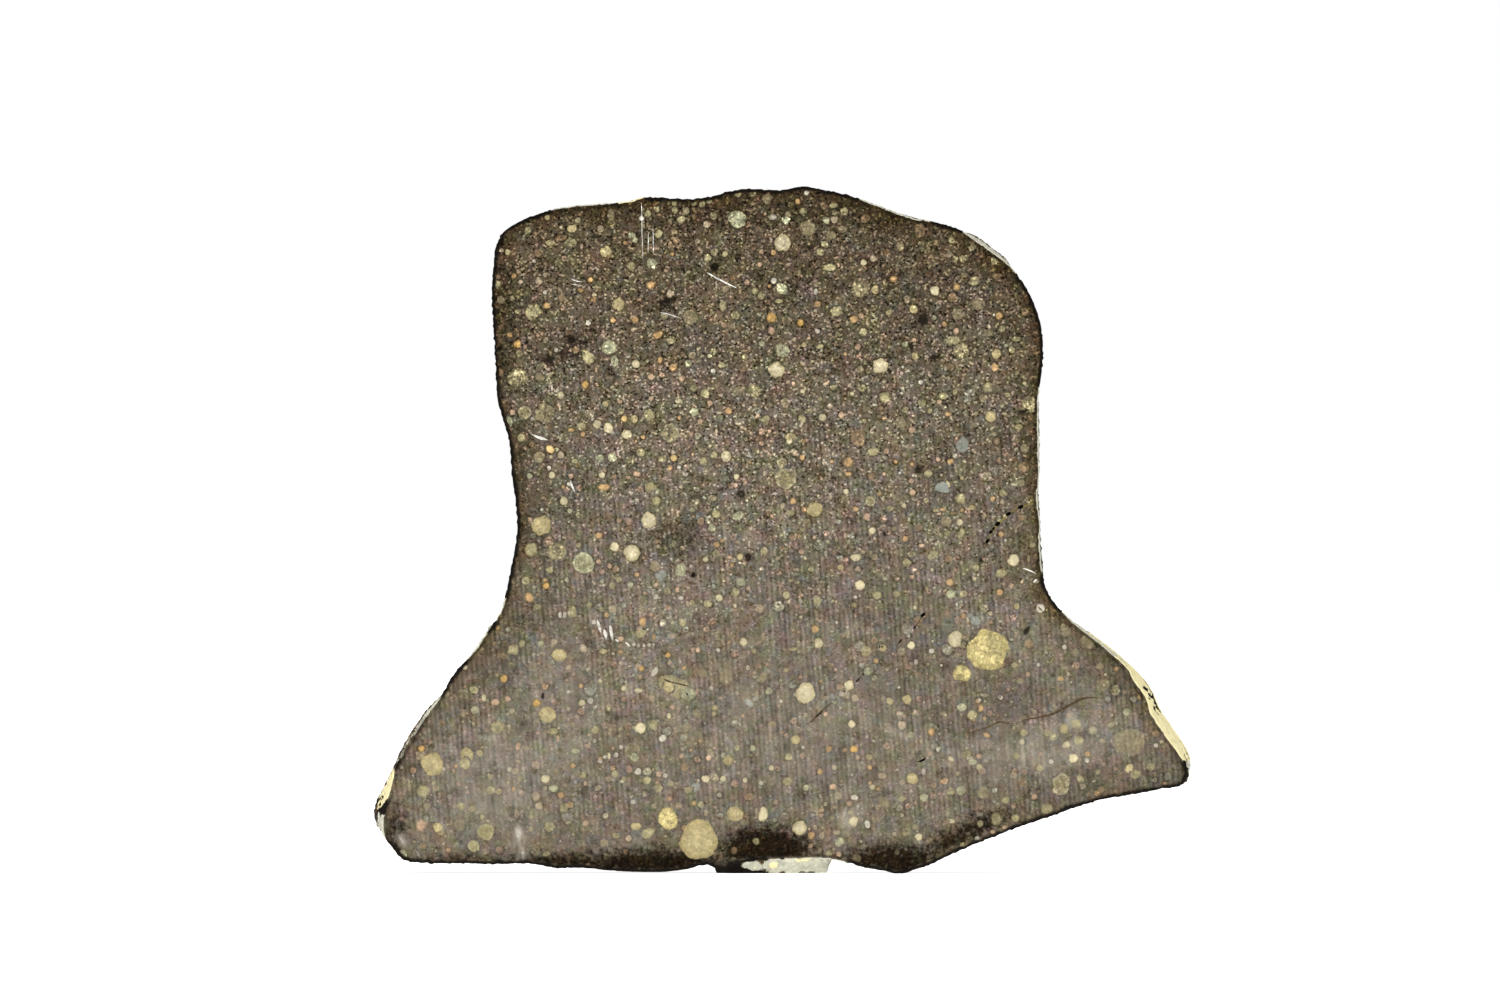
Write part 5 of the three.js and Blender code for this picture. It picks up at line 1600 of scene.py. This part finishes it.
class MeteoriteSliceSettings(bpy.types.PropertyGroup):
    """Sizes and looks of the slice."""

    edge_rounding: length("Edge rounding", "Width of the worn edge round each sawn face", 0.05)
    hollow_depth: length("Hollow depth", "Depth of the rim's weathered hollows", 0.22)
    hollow_spacing: length("Hollow spacing", "Distance between the rim's weathered hollows", 1.1)
    knob_depth: length("Knob depth", "How far the matrix is worn back between the rim's grains", 0.16)
    knob_spacing: length("Knob spacing", "Distance between the grains that stand out of the rim", 0.75)
    grain_depth: length("Grain depth", "Depth of the rim's fine grain", 0.06)
    grain_spacing: length("Grain spacing", "Distance between the bumps of the rim's fine grain", 0.32)
    seed: bpy.props.IntProperty(name="Seed", description="Chooses another random weathering", default=4)
    saw_pitch: length("Saw pitch", "Distance between saw marks", 0.25)
    saw_tilt_deg: bpy.props.FloatProperty(name="Saw tilt", description="Lean of the saw marks in degrees",
                                          default=4.6)


class MeteoriteStageSettings(bpy.types.PropertyGroup):
    """Floor, lights and camera."""

    floor_size: bpy.props.FloatProperty(name="Floor size", description="Side of the square floor",
                                        default=6.0, unit="LENGTH")
    floor_colour: bpy.props.FloatVectorProperty(name="Floor colour", description="Colour of the pale floor",
                                                default=(0.9, 0.9, 0.9), subtype="COLOR", size=3)
    floor_glow: bpy.props.FloatProperty(name="Floor glow", description="Light that comes through the floor",
                                        default=0.8)
    camera_distance: bpy.props.FloatProperty(name="Camera distance",
                                             description="From the lens to the front face", default=1.0,
                                             unit="LENGTH")
    view_width: length("View width", "Width of the view at the front face", 75)
    sky_light: bpy.props.FloatProperty(name="Sky light", description="Strength of the even light",
                                       default=0.35)
    light_strength: bpy.props.FloatProperty(name="Light strength",
                                            description="Strength of the soft light above", default=2.2)


class METEORITE_OT_build_slice(bpy.types.Operator):
    """Builds the slice's weathered rim and sawn faces and puts them in the CAD solid's place"""

    bl_idname = "meteorite.build_slice"
    bl_label = "Build slice"

    def execute(self, context):
        settings = context.scene.meteorite_slice
        speckle = speckle_group()
        stone = stone_group(speckle, small_grains_group())
        materials = [sawn_material(stone, speckle, settings), rim_material(stone, speckle)]
        piece = bpy.data.objects.new("stone_slice", build_slice(settings, materials))
        context.scene.collection.objects.link(piece)
        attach(piece, "root")
        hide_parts(CAD_NODE)
        return {"FINISHED"}


class METEORITE_OT_build_stage(bpy.types.Operator):
    """Builds the pale floor, the soft light and the camera"""

    bl_idname = "meteorite.build_stage"
    bl_label = "Build stage"

    def execute(self, context):
        settings = context.scene.meteorite_stage
        build_floor(context.scene, settings)
        build_light(context.scene, settings)
        build_camera(context.scene, settings)
        return {"FINISHED"}


VIEW_CENTRE = (-1.6, 18.68)     # x and z of the middle of the view, in millimetres
SENSOR = 36.0
LIGHT_FROM = (-0.15, -0.33, 0.94)
LIGHT_SPREAD = 60               # degrees across, as seen from the slice


def build_floor(scene, settings):
    half = settings.floor_size / 2
    mesh = bpy.data.meshes.new("floor")
    corners = [(-half, -half, 0), (half, -half, 0), (half, half, 0), (-half, half, 0)]
    mesh.from_pydata(corners, [], [(0, 1, 2, 3)])
    material = bpy.data.materials.new("pale floor")
    material.use_nodes = True
    shader = material.node_tree.nodes["Principled BSDF"].inputs
    for label, value in (("Base Color", (*settings.floor_colour, 1)), ("Roughness", 0.9),
                         ("Specular IOR Level", 0.1), ("Emission Color", (1, 1, 1, 1)),
                         ("Emission Strength", settings.floor_glow)):
        shader[label].default_value = value
    mesh.materials.append(material)
    floor = bpy.data.objects.new("floor", mesh)
    scene.collection.objects.link(floor)


def build_light(scene, settings):
    """White all round, and a broad soft light from above and in front."""
    world = bpy.data.worlds.new("studio")
    world.use_nodes = True
    world.node_tree.nodes.clear()
    make = Nodes(world.node_tree)
    backdrop = make.add("ShaderNodeBackground", {"Color": (1, 1, 1, 1), "Strength": 1.0})
    sky = make.add("ShaderNodeBackground", {"Color": (1, 1, 1, 1), "Strength": settings.sky_light})
    seen = make.add("ShaderNodeLightPath").outputs["Is Camera Ray"]
    both = make.add("ShaderNodeMixShader", {0: seen, 1: sky.outputs[0], 2: backdrop.outputs[0]})
    make.add("ShaderNodeOutputWorld", {"Surface": both.outputs[0]})
    scene.world = world
    lamp = bpy.data.lights.new("soft light", "SUN")
    lamp.energy = settings.light_strength
    lamp.angle = math.radians(LIGHT_SPREAD)
    light = bpy.data.objects.new("soft light", lamp)
    light.rotation_euler = Vector(LIGHT_FROM).to_track_quat("Z", "Y").to_euler()
    scene.collection.objects.link(light)
    scene.view_settings.view_transform = "Standard"
    scene.view_settings.look = "None"
    scene.view_settings.exposure = 0.0
    scene.view_settings.gamma = 1.0


def build_camera(scene, settings):
    """Level with the middle of the view and square to the front face."""
    lens = bpy.data.cameras.new("camera")
    lens.sensor_width = SENSOR
    lens.lens = SENSOR * settings.camera_distance / settings.view_width
    lens.clip_start, lens.clip_end = 0.01, 100.0
    camera = bpy.data.objects.new("camera", lens)
    face = CAD_BOX[0].y
    camera.location = (VIEW_CENTRE[0] * MM, face - settings.camera_distance, VIEW_CENTRE[1] * MM)
    camera.rotation_euler = (math.radians(90), 0, 0)
    scene.collection.objects.link(camera)
    scene.camera = camera


class METEORITE_PT_panel(bpy.types.Panel):
    """Lists the slice's and the stage's settings and builds them"""

    bl_idname = "METEORITE_PT_panel"
    bl_label = "Meteorite slice"
    bl_space_type = "VIEW_3D"
    bl_region_type = "UI"
    bl_category = "Meteorite"

    def draw(self, context):
        scene = context.scene
        for settings, operator in ((scene.meteorite_slice, METEORITE_OT_build_slice),
                                   (scene.meteorite_stage, METEORITE_OT_build_stage)):
            box = self.layout.box()
            for name in type(settings).__annotations__:
                box.prop(settings, name)
            box.operator(operator.bl_idname)


CLASSES = (MeteoriteSliceSettings, MeteoriteStageSettings, METEORITE_OT_build_slice, METEORITE_OT_build_stage,
           METEORITE_PT_panel)


def register():
    for item in CLASSES:
        bpy.utils.register_class(item)
    bpy.types.Scene.meteorite_slice = bpy.props.PointerProperty(type=MeteoriteSliceSettings)
    bpy.types.Scene.meteorite_stage = bpy.props.PointerProperty(type=MeteoriteStageSettings)


def unregister():
    del bpy.types.Scene.meteorite_stage
    del bpy.types.Scene.meteorite_slice
    for item in reversed(CLASSES):
        bpy.utils.unregister_class(item)


def main():
    register()
    bpy.ops.meteorite.build_stage()
    bpy.ops.meteorite.build_slice()


if __name__ == "__main__":
    main()
